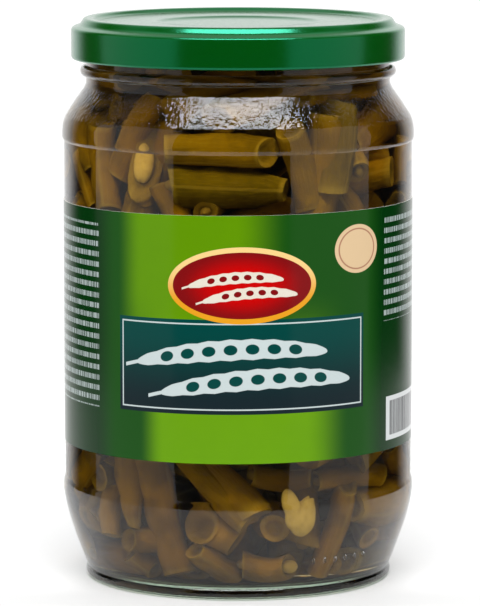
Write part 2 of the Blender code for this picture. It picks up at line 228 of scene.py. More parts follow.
class Signal:
    """What a node gives out, on which sums are written as on numbers."""

    def __init__(self, nodes: "Nodes", socket: Socket) -> None:
        """Keeps the socket, and the nodes that sums on it are added to."""
        self.nodes = nodes
        self.socket = socket

    def __add__(self, other: "Value") -> "Signal":
        """The sum of both."""
        return self.nodes.maths("ADD", self, other)

    def __sub__(self, other: "Value") -> "Signal":
        """This one less the other."""
        return self.nodes.maths("SUBTRACT", self, other)

    def __rsub__(self, other: float) -> "Signal":
        """A number less this one."""
        return self.nodes.maths("SUBTRACT", other, self)

    def __mul__(self, other: "Value") -> "Signal":
        """The product of both."""
        return self.nodes.maths("MULTIPLY", self, other)

    def __truediv__(self, other: "Value") -> "Signal":
        """This one divided by the other."""
        return self.nodes.maths("DIVIDE", self, other)

    def __abs__(self) -> "Signal":
        """How far this one is from 0."""
        return self.nodes.maths("ABSOLUTE", self)


Value = Signal | Socket | float | tuple[float, ...]


class Nodes:
    """The nodes of a material or of the surroundings, added a step at a time."""

    def __init__(self, tree: bpy.types.NodeTree) -> None:
        """Starts on a tree."""
        self.tree = tree

    def node(self, kind: str, **settings: object) -> bpy.types.Node:
        """Adds a node of a kind, with its settings."""
        node = self.tree.nodes.new(kind)
        for name, value in settings.items():
            setattr(node, name, value)
        return node

    def feed(self, socket: Socket, value: Value) -> None:
        """Links a socket to another one, or sets its constant."""
        if isinstance(value, Signal):
            value = value.socket
        if isinstance(value, bpy.types.NodeSocket):
            self.tree.links.new(value, socket)
        elif isinstance(value, tuple) and len(value) == 3 and socket.type == "RGBA":
            socket.default_value = (*value, 1.0)
        else:
            socket.default_value = value

    def made(self, kind: str, inputs: dict[Key, Value], output: Key = 0, **settings: object) -> Signal:
        """Adds a node.

        Args:
            kind: Its kind.
            inputs: What each input is fed, by its number or name.
            output: The number or name of the output that is wanted.
            **settings: The node's settings.

        Returns:
            That output.
        """
        node = self.node(kind, **settings)
        for key, value in inputs.items():
            self.feed(node.inputs[key], value)
        return Signal(self, node.outputs[output])

    def maths(self, operation: str, a: Value, b: Value = 0.0, clamp: bool = False) -> Signal:
        """The result of a sum on two values."""
        return self.made("ShaderNodeMath", {0: a, 1: b}, operation=operation, use_clamp=clamp)

    def mix(self, share: Value, first: Value, second: Value) -> Signal:
        """A colour between two, by a share."""
        return self.made("ShaderNodeMix", {0: share, 6: first, 7: second}, 2, data_type="RGBA")

    def blend(self, share: Value, first: Value, second: Value) -> Signal:
        """A number between two, by a share."""
        return self.made("ShaderNodeMix", {0: share, 2: first, 3: second})

    def ease(self, value: Value, low: float, high: float, start: float = 0.0, end: float = 1.0) -> Signal:
        """The start where a value is at low, the end where it is at high, and eased between them."""
        inputs = dict(enumerate((value, low, high, start, end)))
        return self.made("ShaderNodeMapRange", inputs, interpolation_type="SMOOTHSTEP")

    def place(self, source: str = "Object") -> Signal:
        """The texture coordinates of a kind."""
        return self.made("ShaderNodeTexCoord", {}, source)

    def attribute(self, name: str, output: str = "Fac") -> Signal:
        """An attribute of the piece's own mesh."""
        return self.made("ShaderNodeAttribute", {}, output, attribute_name=name)

    def stretched(self, where: Signal, scale: Triple) -> Signal:
        """Coordinates multiplied by a scale along each axis."""
        return self.made("ShaderNodeMapping", {"Vector": where, "Scale": scale})

    def noise(self, where: Signal, scale: float, detail: float = 2.0) -> Signal:
        """Soft random grain from 0 to 1, of a scale per unit of the coordinates."""
        return self.made("ShaderNodeTexNoise", {"Vector": where, "Scale": scale, "Detail": detail}, "Fac")

    def parts(self, where: Signal) -> list[Signal]:
        """The three numbers of a vector."""
        node = self.node("ShaderNodeSeparateXYZ")
        self.feed(node.inputs[0], where)
        return [Signal(self, output) for output in node.outputs]


class Paint(Nodes):
    """A material: its Principled shader and what feeds it."""

    def __init__(self, name: str) -> None:
        """Starts a material with its Principled shader alone."""
        self.material = bpy.data.materials.new(name)
        self.material.use_nodes = True
        super().__init__(self.material.node_tree)
        self.shader = self.tree.nodes["Principled BSDF"]
        self.output = self.tree.nodes["Material Output"]

    def set(self, **inputs: Value) -> None:
        """Feeds the shader's inputs, named with underscores for spaces."""
        for name, value in inputs.items():
            self.feed(self.shader.inputs[name.replace("_", " ")], value)

    def bump(self, height: Signal, distance: float) -> None:
        """Gives the shader a bump of a height map, in metres."""
        inputs = {"Strength": 1.0, "Distance": distance, "Height": height}
        self.set(Normal=self.made("ShaderNodeBump", inputs))


# Finishes


@dataclass(frozen=True)
class ClearFinish:
    """Glass or brine: it bends light, may tint it with depth, and lets the lamps through."""

    name: str
    index: float
    tint: Colour
    shadow_tint: Colour
    depth_tint: Colour = (1.0, 1.0, 1.0)
    density: float = 0.0
    wave_size: float = 14.0
    wave_height: float = 0.0
    grain_size: float = 0.9
    grain_height: float = 0.0
    grain_from: Point = (0.0, 0.0)

    def material(self) -> bpy.types.Material:
        """Returns the material."""
        paint = Paint(self.name)
        paint.set(Base_Color=self.tint, Roughness=0.0, IOR=self.index, Transmission_Weight=1.0)
        if self.wave_height or self.grain_height:
            self.relief(paint)
        seen = {0: paint.node("ShaderNodeLightPath").outputs["Is Shadow Ray"], 1: paint.shader.outputs[0]}
        seen[2] = paint.made("ShaderNodeBsdfTransparent", {0: self.shadow_tint})
        paint.feed(paint.output.inputs["Surface"], paint.made("ShaderNodeMixShader", seen))
        if self.density:
            depth = {"Color": self.depth_tint, "Density": self.density}
            paint.feed(paint.output.inputs["Volume"], paint.made("ShaderNodeVolumeAbsorption", depth))
        return paint.material

    def relief(self, paint: Paint) -> None:
        """Gives the surface long shallow waves, and a grain from one height to another."""
        where = paint.place()
        _, _, z = paint.parts(where)
        low, high = self.grain_from
        over_low = paint.ease(z, (low - 0.5) * MM, (low + 0.5) * MM)
        under_high = paint.ease(z, (high + 0.5) * MM, (high - 0.5) * MM)
        waves = paint.noise(where, 1 / (self.wave_size * MM), 1.0) * (self.wave_height * MM)
        grain = paint.noise(where, 1 / (self.grain_size * MM), 2.0) * (over_low * under_high)
        paint.bump(waves + grain * (self.grain_height * MM), 1.0)


@dataclass(frozen=True)
class LacquerFinish:
    """Baked lacquer on tinplate: a deep flat colour under a gloss that it tints."""

    name: str
    colour: Colour
    gloss_tint: Colour
    roughness: float
    peel: float
    index: float
    coat: float

    def material(self) -> bpy.types.Material:
        """Returns the material."""
        paint = Paint(self.name)
        where = paint.place()
        cloud = paint.noise(where, 60.0, 3.0)
        darker = tuple(0.86 * c for c in self.colour)
        paint.set(Base_Color=paint.mix(cloud, darker, self.colour), IOR=self.index)
        paint.set(Specular_Tint=self.gloss_tint, Coat_Weight=self.coat, Coat_Roughness=0.25)
        scuffs = paint.ease(paint.noise(where, 900.0, 4.0), 0.35, 0.8)
        paint.set(Roughness=scuffs * 0.05 + self.roughness)
        paint.bump(paint.noise(where, 1 / (1.6 * MM), 1.0), self.peel * MM)
        return paint.material


@dataclass(frozen=True)
class MattFinish:
    """A plain soft or fibrous stuff with a fine grain."""

    name: str
    light: Colour
    dark: Colour
    roughness: float
    grain: float
    relief: float

    def material(self) -> bpy.types.Material:
        """Returns the material."""
        paint = Paint(self.name)
        where = paint.place()
        fine = paint.noise(where, 1 / (self.grain * MM), 4.0)
        paint.set(Base_Color=paint.mix(fine, self.dark, self.light), Roughness=self.roughness)
        paint.bump(fine, self.relief * MM)
        return paint.material


# Glass


@dataclass
class GlassJar:
    """The glass, with the six leads of its thread."""

    segments: int = 160
    foot_inner_r: float = 32.5
    foot_outer_r: float = 36.2
    foot_ring: Point = (39.3, 1.3)
    foot_groove: Point = (38.9, 2.7)
    push_up: float = 2.4
    ring_r: float = 45.1
    heel_ring_z: float = 23.0
    panel_r: float = 44.6
    panel: Point = (26.0, 113.6)
    seam_drop: float = 1.1
    knee: Point = (43.8, 119.4)
    collar: Point = (40.1, 124.9)
    neck_r: float = 38.9
    neck_low_z: float = 127.0
    bead_r: float = 1.5
    bead_z: float = 130.3
    rim_z: float = 141.0
    wall_r: float = 42.3
    inner_hip: Point = (39.4, 120.6)
    bottom_r: float = 34.6
    bottom_z: float = 3.5
    bottom_rise: float = 1.3
    bottom_corner: Point = (38.0, 6.4)
    bore_r: float = 36.2
    bore_low_z: float = 128.0
    floor_r: float = 33.5
    floor_z: float = 5.6
    floor_rise: float = 1.2
    leads: int = 6
    thread_out: float = 2.0
    thread_span: float = 38.0
    thread_height: float = 1.5
    thread_low_z: float = 135.3
    thread_rise: float = 1.9
    wobble: float = 0.09
    foot_high_z: float = 4.4
    fill_z: float = 134.0
    dots: int = 6
    dot_size: Triple = (0.4, 0.5, 0.8)
    dot_turns: Point = (27.0, 49.0)
    dot_place: Point = (41.75, 9.8)
    dry: ClearFinish = ClearFinish(
        "clear_glass",
        1.5,
        (1.0, 1.0, 1.0),
        (0.98, 0.99, 0.985),
        wave_size=16.0,
        wave_height=0.05,
        grain_size=1.0,
        grain_height=0.20,
        grain_from=(118.6, 126.2),
    )
    wetted: ClearFinish = ClearFinish("wetted_glass", 1.119, (1.0, 1.0, 1.0), (0.99, 0.995, 0.99))
    foot: ClearFinish = ClearFinish(
        "foot_glass",
        1.5,
        (0.35, 0.47, 0.36),
        (0.45, 0.50, 0.46),
        wave_size=6.0,
        wave_height=0.12,
        grain_size=0.9,
        grain_height=0.10,
        grain_from=(-2.0, 2.9),
    )

    def outside(self) -> list[Point]:
        """The outer face from the middle of the push-up, over the foot, to the top of the rim."""
        path = [(0.0, self.push_up)]
        bend(path, (self.foot_inner_r - 6, self.push_up), (self.foot_inner_r - 1.5, 0.6), 8)
        bend(path, (self.foot_inner_r - 0.6, 0.0), (self.foot_inner_r, 0.0), 3)
        path += [(self.foot_outer_r, 0.0)]
        bend(path, (self.foot_ring[0], 0.0), self.foot_ring, 6)
        bend(path, (self.foot_ring[0], self.foot_groove[1] - 0.3), self.foot_groove, 4)
        bend(path, (self.ring_r - 0.5, 16.5), (self.ring_r, self.heel_ring_z), 16)
        bend(path, (self.ring_r, self.panel[0] - 0.6), (self.panel_r, self.panel[0]), 6)
        seam_z = self.panel[1] - self.seam_drop
        path += [(self.panel_r, z) for z in (45.0, 70.0, 95.0, seam_z)]
        bend(path, (self.ring_r, seam_z + 0.4), (self.ring_r, seam_z + 1.4), 6)
        bend(path, (self.ring_r, 117.6), self.knee, 12)
        bend(path, (42.0, 122.4), self.collar, 12)
        bend(path, (self.neck_r, 126.6), (self.neck_r, self.neck_low_z + 0.7), 8)
        path += arc((self.neck_r, self.bead_z), self.bead_r, -90, 90, 12)
        first = self.thread_low_z - 1.0
        rows = int((self.rim_z - 1.2 - first) / 0.25)
        path += [(self.neck_r, first + 0.25 * i) for i in range(rows)]
        path += [(self.neck_r, self.rim_z - 1.2)]
        bend(path, (self.neck_r, self.rim_z), (self.neck_r - 0.9, self.rim_z), 5)
        return path

    def inside(self) -> list[Point]:
        """The inner face from the middle of the floor to the top of the rim."""
        path = [(0.0, self.bottom_z + self.bottom_rise)]
        middle = (self.bottom_r * 0.6, self.bottom_z + self.bottom_rise)
        bend(path, middle, (self.bottom_r, self.bottom_z), 8)
        bend(path, (self.bottom_corner[0] - 0.6, self.bottom_z + 0.1), self.bottom_corner, 6)
        bend(path, (self.wall_r - 0.9, 16.0), (self.wall_r, self.heel_ring_z), 12)
        path += [(self.wall_r, self.heel_ring_z + 6.0 * i) for i in range(1, 15)]
        path += [(self.wall_r, self.panel[1])]
        bend(path, (self.wall_r, 118.0), self.inner_hip, 10)
        bend(path, (36.5, 123.4), (self.bore_r, self.bore_low_z), 8)
        path += [(self.bore_r, 134.0), (self.bore_r, self.rim_z - 1.0)]
        bend(path, (self.bore_r, self.rim_z), (self.bore_r + 0.9, self.rim_z), 4)
        return path

    def thread(self, angle: float, z: float) -> float:
        """How far the thread stands out of the neck.

        Args:
            angle: The angle round the axis, in radians.
            z: The height.

        Returns:
            The height of the thread over the neck.
        """
        pitch = 360.0 / self.leads
        past = (math.degrees(angle) + self.thread_span / 2) % pitch
        along = past / self.thread_span
        if along > 1:
            return 0.0
        middle = self.thread_low_z + self.thread_height / 2 + self.thread_rise * along
        across = 1 - smooth(abs(z - middle), self.thread_height * 0.22, self.thread_height * 0.52)
        ends = smooth(past, 0.0, 2.0) * smooth(self.thread_span - past, 0.0, 2.0)
        return self.thread_out * across * ends

    def build(self) -> bpy.types.Object:
        """Returns the finished glass."""
        outer, inner = self.outside(), self.inside()
        bm = turned(outer + inner[::-1], self.segments)

        def rule(angle: float, radius: float, z: float) -> tuple[float, float]:
            """Raises the thread on the neck and lets the inner wall wander as blown glass does."""
            if abs(radius - self.neck_r) < 0.02 and z > self.thread_low_z - 1.1:
                radius += self.thread(angle, z)
            if self.floor_z + 3 < z < self.bore_low_z and radius < self.wall_r + 0.02:
                place = Vector((math.cos(angle) * 1.6, math.sin(angle) * 1.6, z * 0.045))
                radius += self.wobble * noise.noise(place)
            return radius, z

        reshape(bm, rule)
        bm.normal_update()
        for face in bm.faces:
            face.material_index = self.zone(face)
        jar = piece_from(bm, "glass_jar")
        materials = [finish.material() for finish in (self.dry, self.wetted, self.foot)]
        return placed(jar, Body.VESSEL, "jar_glass", ["jar"], *materials)

    def moulded_dots(self) -> bpy.types.Object:
        """Returns the row of small raised dots that the mould leaves on the heel."""
        bm = bmesh.new()
        first, last = self.dot_turns
        for i in range(self.dots):
            around = Matrix.Rotation(math.radians(first + (last - first) * i / (self.dots - 1)), 4, "Z")
            out = Matrix.Translation((0.0, -self.dot_place[0], self.dot_place[1]))
            matrix = around @ out @ Matrix.Diagonal((*self.dot_size, 1.0))
            bmesh.ops.create_icosphere(bm, subdivisions=2, radius=1, matrix=matrix)
        dots = piece_from(bm, "mould_dots", 60.0)
        return placed(dots, Body.VESSEL, "jar_glass", [], self.dry.material())

    def zone(self, face: bmesh.types.BMFace) -> int:
        """Which finish a face takes: 0 dry, 1 wetted by the brine, 2 the moulded foot."""
        middle = face.calc_center_median()
        outwards = face.normal.x * middle.x + face.normal.y * middle.y
        inner = outwards < -0.05 * math.hypot(middle.x, middle.y) and middle.z > self.bottom_z
        if inner or (face.normal.z > 0.5 and self.bottom_z - 0.1 < middle.z < 10):
            return int(middle.z < self.fill_z)
        return 2 if middle.z < self.foot_high_z else 0


@dataclass
class BrineFill:
    """The brine, which fills the jar round the pods and reaches a hair into the glass.

    The wetted face of the glass does the bending between the two, so the brine itself only tints.
    """

    jar: GlassJar
    into_glass: float = 0.18
    creep: float = 0.7
    finish: ClearFinish = ClearFinish(
        "brine", 1.0, (1.0, 1.0, 1.0), (1.0, 0.99, 0.94), depth_tint=(0.80, 0.62, 0.20), density=40.0
    )

    def build(self) -> bpy.types.Object:
        """Returns the brine, with the rim of its surface drawn up the glass."""
        fill_z, edge = self.jar.fill_z, self.jar.bore_r + self.into_glass
        outline = [p for p in inset(self.jar.inside(), -self.into_glass) if p[1] < fill_z - 1]
        outline += [(edge, fill_z + self.creep)]
        bend(outline, (edge - 0.5, fill_z), (edge - 2.0, fill_z), 4)
        outline += [(0.0, fill_z)]
        brine = piece_from(turned(outline, self.jar.segments), "brine_fill")
        return placed(brine, Body.VESSEL, "brine", ["brine"], self.finish.material())


# Lid


@dataclass
class TwistLid:
    """The twist-off lid: drawn sheet with a rolled edge, six lugs pressed out of the roll, and a button."""

    segments: int = 180
    radius: float = 42.6
    sheet: float = 0.4
    low_z: float = 133.3
    curl: float = 1.3
    crest_z: float = 143.7
    crest_inner_r: float = 36.4
    panel_drop: float = 1.0
    button_r: float = 21.0
    button_drop: float = 0.5
    button_sag: float = 0.2
    lugs: int = 6
    lug_first: float = -17.5
    lug_span: float = 9.0
    lug_in: float = 1.8
    lug_low_z: float = 133.5
    curl_points: int = 14
    outer_finish: LacquerFinish = LacquerFinish(
        "green_lacquer",
        colour=(0.0, 0.052, 0.0004),
        gloss_tint=(0.03, 1.0, 0.62),
        roughness=0.18,
        peel=0.010,
        index=1.8,
        coat=0.15,
    )
    inner_finish: LacquerFinish = LacquerFinish(
        "inner_lacquer",
        colour=(0.72, 0.66, 0.50),
        gloss_tint=(1.0, 1.0, 1.0),
        roughness=0.3,
        peel=0.004,
        index=1.5,
        coat=0.0,
    )

    def outside(self) -> list[Point]:
        """The outer face from the top of the curl, under the skirt, to the middle of the button."""
        low, curl_in = self.low_z, self.radius - self.curl
        path = [(curl_in, low + 1.5), (curl_in, low + 1.0), (curl_in, low + 0.65)]
        bend(path, (curl_in, low), (self.radius - self.curl / 2, low), 5)
        bend(path, (self.radius, low), (self.radius, low + 1.0), 6)
        crest_z = self.crest_z
        path += [(self.radius, low + 3.5), (self.radius, crest_z - 3.3)]
        bend(path, (self.radius, crest_z - 2.5), (self.radius - 0.7, crest_z - 2.25), 6)
        path += [(self.radius - 1.7, crest_z - 1.9)]
        bend(path, (self.radius - 2.25, crest_z - 1.7), (self.radius - 2.6, crest_z - 1.1), 5)
        path += [(self.radius - 3.0, crest_z - 0.5)]
        bend(path, (self.radius - 3.3, crest_z), (self.radius - 4.0, crest_z), 5)
        panel_z = crest_z - self.panel_drop
        bend(path, (37.8, crest_z), (self.crest_inner_r + 0.6, crest_z - 0.1), 2)
        bend(path, (self.crest_inner_r - 0.2, panel_z), (self.crest_inner_r - 1.4, panel_z), 5)
        path += [(30.0, panel_z), (self.button_r + 0.6, panel_z)]
        button_z = panel_z - self.button_drop
        bend(path, (self.button_r - 0.3, panel_z), (self.button_r - 1.4, button_z), 4)
        bend(path, (8.0, button_z - self.button_sag), (0.0, button_z - self.button_sag), 4)
        return path

    def build(self) -> bpy.types.Object:
        """Returns the finished lid, green outside and pale inside."""
        outer = self.outside()
        inner = inset(outer, self.sheet)[self.curl_points :]
        inner[0] = (self.radius - self.sheet, outer[0][1])
        bm = turned(outer + inner[::-1], self.segments)

        def rule(angle: float, radius: float, z: float) -> tuple[float, float]:
            """Presses the lugs inwards out of the curl."""
            if radius < self.radius - self.curl * 0.55 and z < self.low_z + 1.6:
                past = (math.degrees(angle) - self.lug_first) % (360.0 / self.lugs)
                share = smooth(past, -1.0, 1.6) * smooth(self.lug_span - past, -1.0, 1.6)
                share *= smooth(z, self.lug_low_z - 0.3, self.lug_low_z + 0.2)
                radius -= self.lug_in * share
            return radius, z

        reshape(bm, rule)
        for face in bm.faces:
            middle = face.calc_center_median()
            inwards = face.normal.x * middle.x + face.normal.y * middle.y < -1e-4 * middle.length
            above_curl = middle.z > self.low_z + 1.6
            skirt_inside = inwards and middle.z < self.crest_z - 1.2 and face.normal.z < 0.5
            face.material_index = int(above_curl and (face.normal.z < -0.3 or skirt_inside))
        lid = piece_from(bm, "twist_lid", 50.0)
        materials = [finish.material() for finish in (self.outer_finish, self.inner_finish)]
        return placed(lid, Body.CAP, "lid_lacquer", ["lid"], *materials)


@dataclass
class SealingRing:
    """The ring of sealing compound between the rim and the lid."""

    inner_r: float = 36.4
    outer_r: float = 40.0
    low_z: float = 141.3
    high_z: float = 143.0
    groove: float = 0.12
    finish: MattFinish = MattFinish(
        "sealing_compound", (0.82, 0.80, 0.72), (0.72, 0.69, 0.60), roughness=0.55, grain=0.6, relief=0.02
    )

    def build(self) -> bpy.types.Object:
        """Returns the finished ring, with the groove that the rim has pressed into it."""
        middle = (self.inner_r + self.outer_r) / 2
        path = [(self.inner_r, self.low_z + 0.5)]
        bend(path, (self.inner_r, self.low_z), (self.inner_r + 0.5, self.low_z), 3)
        bend(path, (middle - 1.0, self.low_z + self.groove), (middle, self.low_z + self.groove), 3)
        bend(path, (middle + 1.0, self.low_z + self.groove), (self.outer_r - 0.5, self.low_z), 3)
        bend(path, (self.outer_r, self.low_z), (self.outer_r - 0.2, self.low_z + 0.6), 3)
        path += [(self.outer_r - 1.9, self.high_z), (self.inner_r + 0.3, self.high_z)]
        ring = piece_from(turned(path, 144), "sealing_ring")
        return placed(ring, Body.SEAL, "sealing_compound", ["gasket"], self.finish.material())


# Label


@dataclass(frozen=True)
class PodMark:
    """A printed bean pod: its middle, its lean in degrees, half its length and width, and its bow."""

    middle: Point
    lean: float
    half_length: float
    half_width: float
    bow: float


class Print(Paint):
    """Print on paper, by millimetres across and up from the lower edge of the front."""

    def __init__(self, name: str) -> None:
        """Starts a material that knows its place across and up."""
        super().__init__(name)
        self.u, self.v, _ = self.parts(self.place("UV"))

    def box(self, area: Area) -> Signal:
        """1 inside a rectangle, given across and up, and 0 outside it."""
        sides = []
        for value, (low, high) in zip((self.u, self.v), area):
            half = (high - low) / 2
            sides.append(self.ease(abs(value - (low + high) / 2), half + 0.06, half - 0.06))
        return sides[0] * sides[1]

    def reach(self, a: Signal, b: Signal) -> Signal:
        """The length of two sides at right angles."""
        return self.maths("SQRT", a * a + b * b)

    def oval(self, middle: Point, half: Point) -> Signal:
        """How far from the middle of an oval, 1 on its edge."""
        return self.reach((self.u - middle[0]) / half[0], (self.v - middle[1]) / half[1])

    def between(self, value: Signal, low: float, high: float) -> Signal:
        """1 where a value lies between two others, else 0."""
        return self.maths("GREATER_THAN", value, low) * self.maths("LESS_THAN", value, high)

    def gaps(self, place: Signal) -> Signal:
        """1 or 0 by turns along a line, for random lengths."""
        lengths = self.made("ShaderNodeTexNoise", {"W": place, "Detail": 0.0}, "Fac", noise_dimensions="1D")
        return self.ease(lengths, 0.44, 0.47)

    def pod(self, mark: PodMark, under: Value, skin: Colour, beans: Colour) -> Signal:
        """Prints a bean pod, slim and bowed, with a stalk and a row of beans in it.

        Args:
            mark: Its place and shape.
            under: The colour that it is printed on.
            skin: Its own colour.
            beans: The colour of its beans.

        Returns:
            The colour with the pod on it.
        """
        half_length, half_width = mark.half_length, mark.half_width
        pitch = half_width * 2.1
        last_bean = (math.floor(0.72 * half_length / pitch) + 0.5) * pitch / half_length
        cos, sin = math.cos(math.radians(mark.lean)), math.sin(math.radians(mark.lean))
        right, up = self.u - mark.middle[0], self.v - mark.middle[1]
        along = right * cos + up * sin
        share = along / half_length
        squared = share * share
        off = abs(up * cos - right * sin + (squared - 0.4) * mark.bow)
        taper = self.maths("POWER", self.maths("SUBTRACT", 1.0, squared, clamp=True), 0.42)
        past_bean = self.maths("PINGPONG", along, pitch / 2)
        width = taper * half_width * (1.06 - past_bean * (0.26 / pitch))
        inside = self.ease(off - width, 0.05, -0.10) * self.between(share, -1.0, 1.0)
        stalk = self.ease(off, half_width * 0.2, half_width * 0.14) * self.between(share, -1.14, -0.98)
        bean = self.ease(self.reach(past_bean / (pitch * 0.32), off / (half_width * 0.5)), 1.04, 0.92)
        printed = self.mix(self.maths("MAXIMUM", inside, stalk), under, skin)
        return self.mix(bean * self.between(share, -last_bean, last_bean), printed, beans)


@dataclass(frozen=True)
class PrintFinish:
    """What the label's print shows, where, and in which colours."""

    name: str = "label_print"
    edge_green: Colour = (0.0, 0.022, 0.002)
    side_green: Colour = (0.006, 0.056, 0.004)
    leaf_green: Colour = (0.105, 0.260, 0.0)
    top_green: Colour = (0.085, 0.215, 0.0)
    panel_top: Colour = (0.0, 0.042, 0.036)
    panel_foot: Colour = (0.004, 0.012, 0.016)
    rule_white: Colour = (0.42, 0.48, 0.48)
    badge_red: Colour = (0.42, 0.0, 0.0)
    badge_deep: Colour = (0.16, 0.003, 0.004)
    gold: Colour = (0.58, 0.25, 0.01)
    pale_gold: Colour = (0.66, 0.46, 0.18)
    cream: Colour = (0.56, 0.52, 0.44)
    beige: Colour = (0.54, 0.39, 0.23)
    stripe_white: Colour = (0.50, 0.52, 0.52)
    ink: Colour = (0.010, 0.012, 0.014)
    bright_low: tuple[Point, Point] = ((-26.0, -19.0), (30.0, 17.0))
    bright_high: tuple[Point, Point] = ((-33.0, -25.0), (13.0, -1.0))
    panel_area: Area = ((-32.1, 34.7), (12.4, 36.1))
    rule_outside: Area = ((-31.3, 34.0), (13.4, 35.2))
    rule_inside: Area = ((-30.95, 33.65), (13.75, 34.85))
    panel_pods: tuple[PodMark, PodMark] = (
        PodMark((-1.8, 27.6), 3.0, 25.0, 2.6, 2.4),
        PodMark((5.0, 20.2), 3.0, 25.0, 2.6, 2.4),
    )
    badge_middle: Point = (1.1, 44.6)
    badge_half: Point = (18.9, 9.6)
    red_half: Point = (17.6, 8.3)
    glow_half: Point = (17.0, 9.0)
    badge_pods: tuple[PodMark, PodMark] = (
        PodMark((-0.6, 46.0), 4.0, 12.0, 1.45, 1.4),
        PodMark((3.0, 42.2), 4.0, 12.0, 1.45, 1.4),
    )
    seal_middle: Point = (32.6, 52.4)
    seal_half: Point = (7.2, 6.1)
    left_lines: Area = ((-78.0, -40.0), (12.0, 58.5))
    right_lines: Area = ((43.0, 80.0), (33.0, 60.0))
    line_pitch: float = 2.6
    stripe_panel: Area = ((44.2, 74.0), (2.4, 13.6))
    stripe_area: Area = ((46.0, 72.5), (3.6, 12.4))

    def material(self) -> bpy.types.Material:
        """Returns the material."""
        page = Print(self.name)
        colour = self.ground(page)
        for layer in (self.panel, self.badge, self.small_print):
            colour = layer(page, colour)
        page.set(Base_Color=colour, Roughness=0.16, IOR=1.5, Specular_IOR_Level=0.12)
        page.bump(page.noise(page.place(), 1 / (2.2 * MM), 3.0), 0.006 * MM)
        return page.material

    def ground(self, page: Print) -> Signal:
        """The green ground: a bright patch at the foot, a narrower one left of the middle at the top."""
        patches = []
        for rising, falling in (self.bright_low, self.bright_high):
            patches.append(page.ease(page.u, *rising) * page.ease(page.u, *falling))
        rise = page.ease(page.v, 16.0, 44.0)
        bright = page.mix(rise, self.leaf_green, self.top_green)
        colour = page.mix(page.blend(rise, *patches), self.side_green, bright)
        colour = page.mix(page.ease(abs(page.u - 1.0), 34.0, 42.0), colour, self.edge_green)
        return page.mix(page.noise(page.place(), 150.0, 3.0) * 0.12, colour, self.side_green)

    def panel(self, page: Print, under: Signal) -> Signal:
        """The dark panel with its fine white rule and two plain pods."""
        fill = page.mix(page.ease(page.v, 14.0, 34.0), self.panel_foot, self.panel_top)
        colour = page.mix(page.box(self.panel_area), under, fill)
        colour = page.mix(page.box(self.rule_outside) - page.box(self.rule_inside), colour, self.rule_white)
        for mark in self.panel_pods:
            colour = page.pod(mark, colour, self.rule_white, self.panel_top)
        return colour

    def badge(self, page: Print, under: Signal) -> Signal:
        """A red oval badge with a gold rim and two plain pods, and a plain seal right of it."""
        rim = page.mix(page.ease(page.v, 40.0, 50.0), self.gold, self.pale_gold)
        glow = page.ease(page.oval(self.badge_middle, self.glow_half), 0.95, 0.35)
        red = page.mix(glow, self.badge_deep, self.badge_red)
        colour = under
        for half, fill in ((self.badge_half, rim), (self.red_half, red)):
            colour = page.mix(page.ease(page.oval(self.badge_middle, half), 1.004, 0.996), colour, fill)
        for mark in self.badge_pods:
            colour = page.pod(mark, colour, self.cream, self.badge_deep)
        seal = page.oval(self.seal_middle, self.seal_half)
        colour = page.mix(page.ease(seal, 1.01, 0.99), colour, self.beige)
        return page.mix(page.ease(abs(seal - 0.82), 0.04, 0.02) * 0.6, colour, self.badge_deep)

    def small_print(self, page: Print, under: Signal) -> Signal:
        """Plain bars at the sides for the small print, and a panel of plain stripes."""
        row = page.maths("FLOOR", page.v / self.line_pitch)
        bars = page.ease(page.maths("PINGPONG", page.v, self.line_pitch / 2), 0.58, 0.72)
        words, strokes = page.gaps(page.u * 0.5 + row * 7.3), page.gaps(page.u * 2.6 + row * 3.1)
        sides = page.maths("MAXIMUM", page.box(self.left_lines), page.box(self.right_lines))
        colour = page.mix(sides * bars * words * (strokes * 0.5 + 0.5) * 0.8, under, self.rule_white)
        colour = page.mix(page.box(self.stripe_panel), colour, self.stripe_white)
        return page.mix(page.gaps(page.u * 1.15) * page.box(self.stripe_area), colour, self.ink)


@dataclass
class PaperLabel:
    """The paper label, wrapped once round the glass and glued over its own end at the back."""

    low_z: float = 35.7
    high_z: float = 97.7
    radius: float = 44.72
    paper: float = 0.18
    overlap: float = 7.5
    tilt: float = 0.27
    columns: int = 240
    rows: int = 8
    finish: PrintFinish = PrintFinish()
    back_finish: MattFinish = MattFinish(
        "paper_back", (0.80, 0.79, 0.74), (0.70, 0.69, 0.64), roughness=0.8, grain=0.4, relief=0.01
    )

    def build(self) -> bpy.types.Object:
        """Returns the finished label, with its UV map in millimetres across and up."""
        bm = bmesh.new()
        bmesh.ops.create_grid(bm, x_segments=self.columns, y_segments=self.rows, size=0.5)
        layer = bm.loops.layers.uv.new("print")
        half_turn = math.pi + math.radians(self.overlap)
        lifting = half_turn - math.radians(2 * self.overlap + 2)
        lifted = math.pi - math.radians(self.overlap)
        for face in bm.faces:
            for loop in face.loops:
                x, y, _ = loop.vert.co
                loop[layer].uv = (x * 2 * half_turn * self.radius, (y + 0.5) * (self.high_z - self.low_z))
        for vert in bm.verts:
            turn = vert.co.x * 2 * half_turn
            height = self.low_z + (vert.co.y + 0.5) * (self.high_z - self.low_z) + self.tilt * math.sin(turn)
            radius = self.radius + self.paper * smooth(turn, lifting, lifted)
            vert.co = (radius * math.sin(turn), -radius * math.cos(turn), height)
        bmesh.ops.recalc_face_normals(bm, faces=bm.faces)
        outwards = sum(face.normal.dot(face.calc_center_median().xy.to_3d()) for face in bm.faces)
        if outwards < 0:
            bmesh.ops.reverse_faces(bm, faces=bm.faces)
        bmesh.ops.solidify(bm, geom=bm.faces, thickness=self.paper)
        bm.normal_update()
        for face in bm.faces:
            face.material_index = int(face.normal.dot(face.calc_center_median().xy.to_3d()) < 1.0)
        label = piece_from(bm, "paper_label")
        materials = [finish.material() for finish in (self.finish, self.back_finish)]
        return placed(label, Body.VESSEL, "label_paper", ["label"], *materials)


# Beans


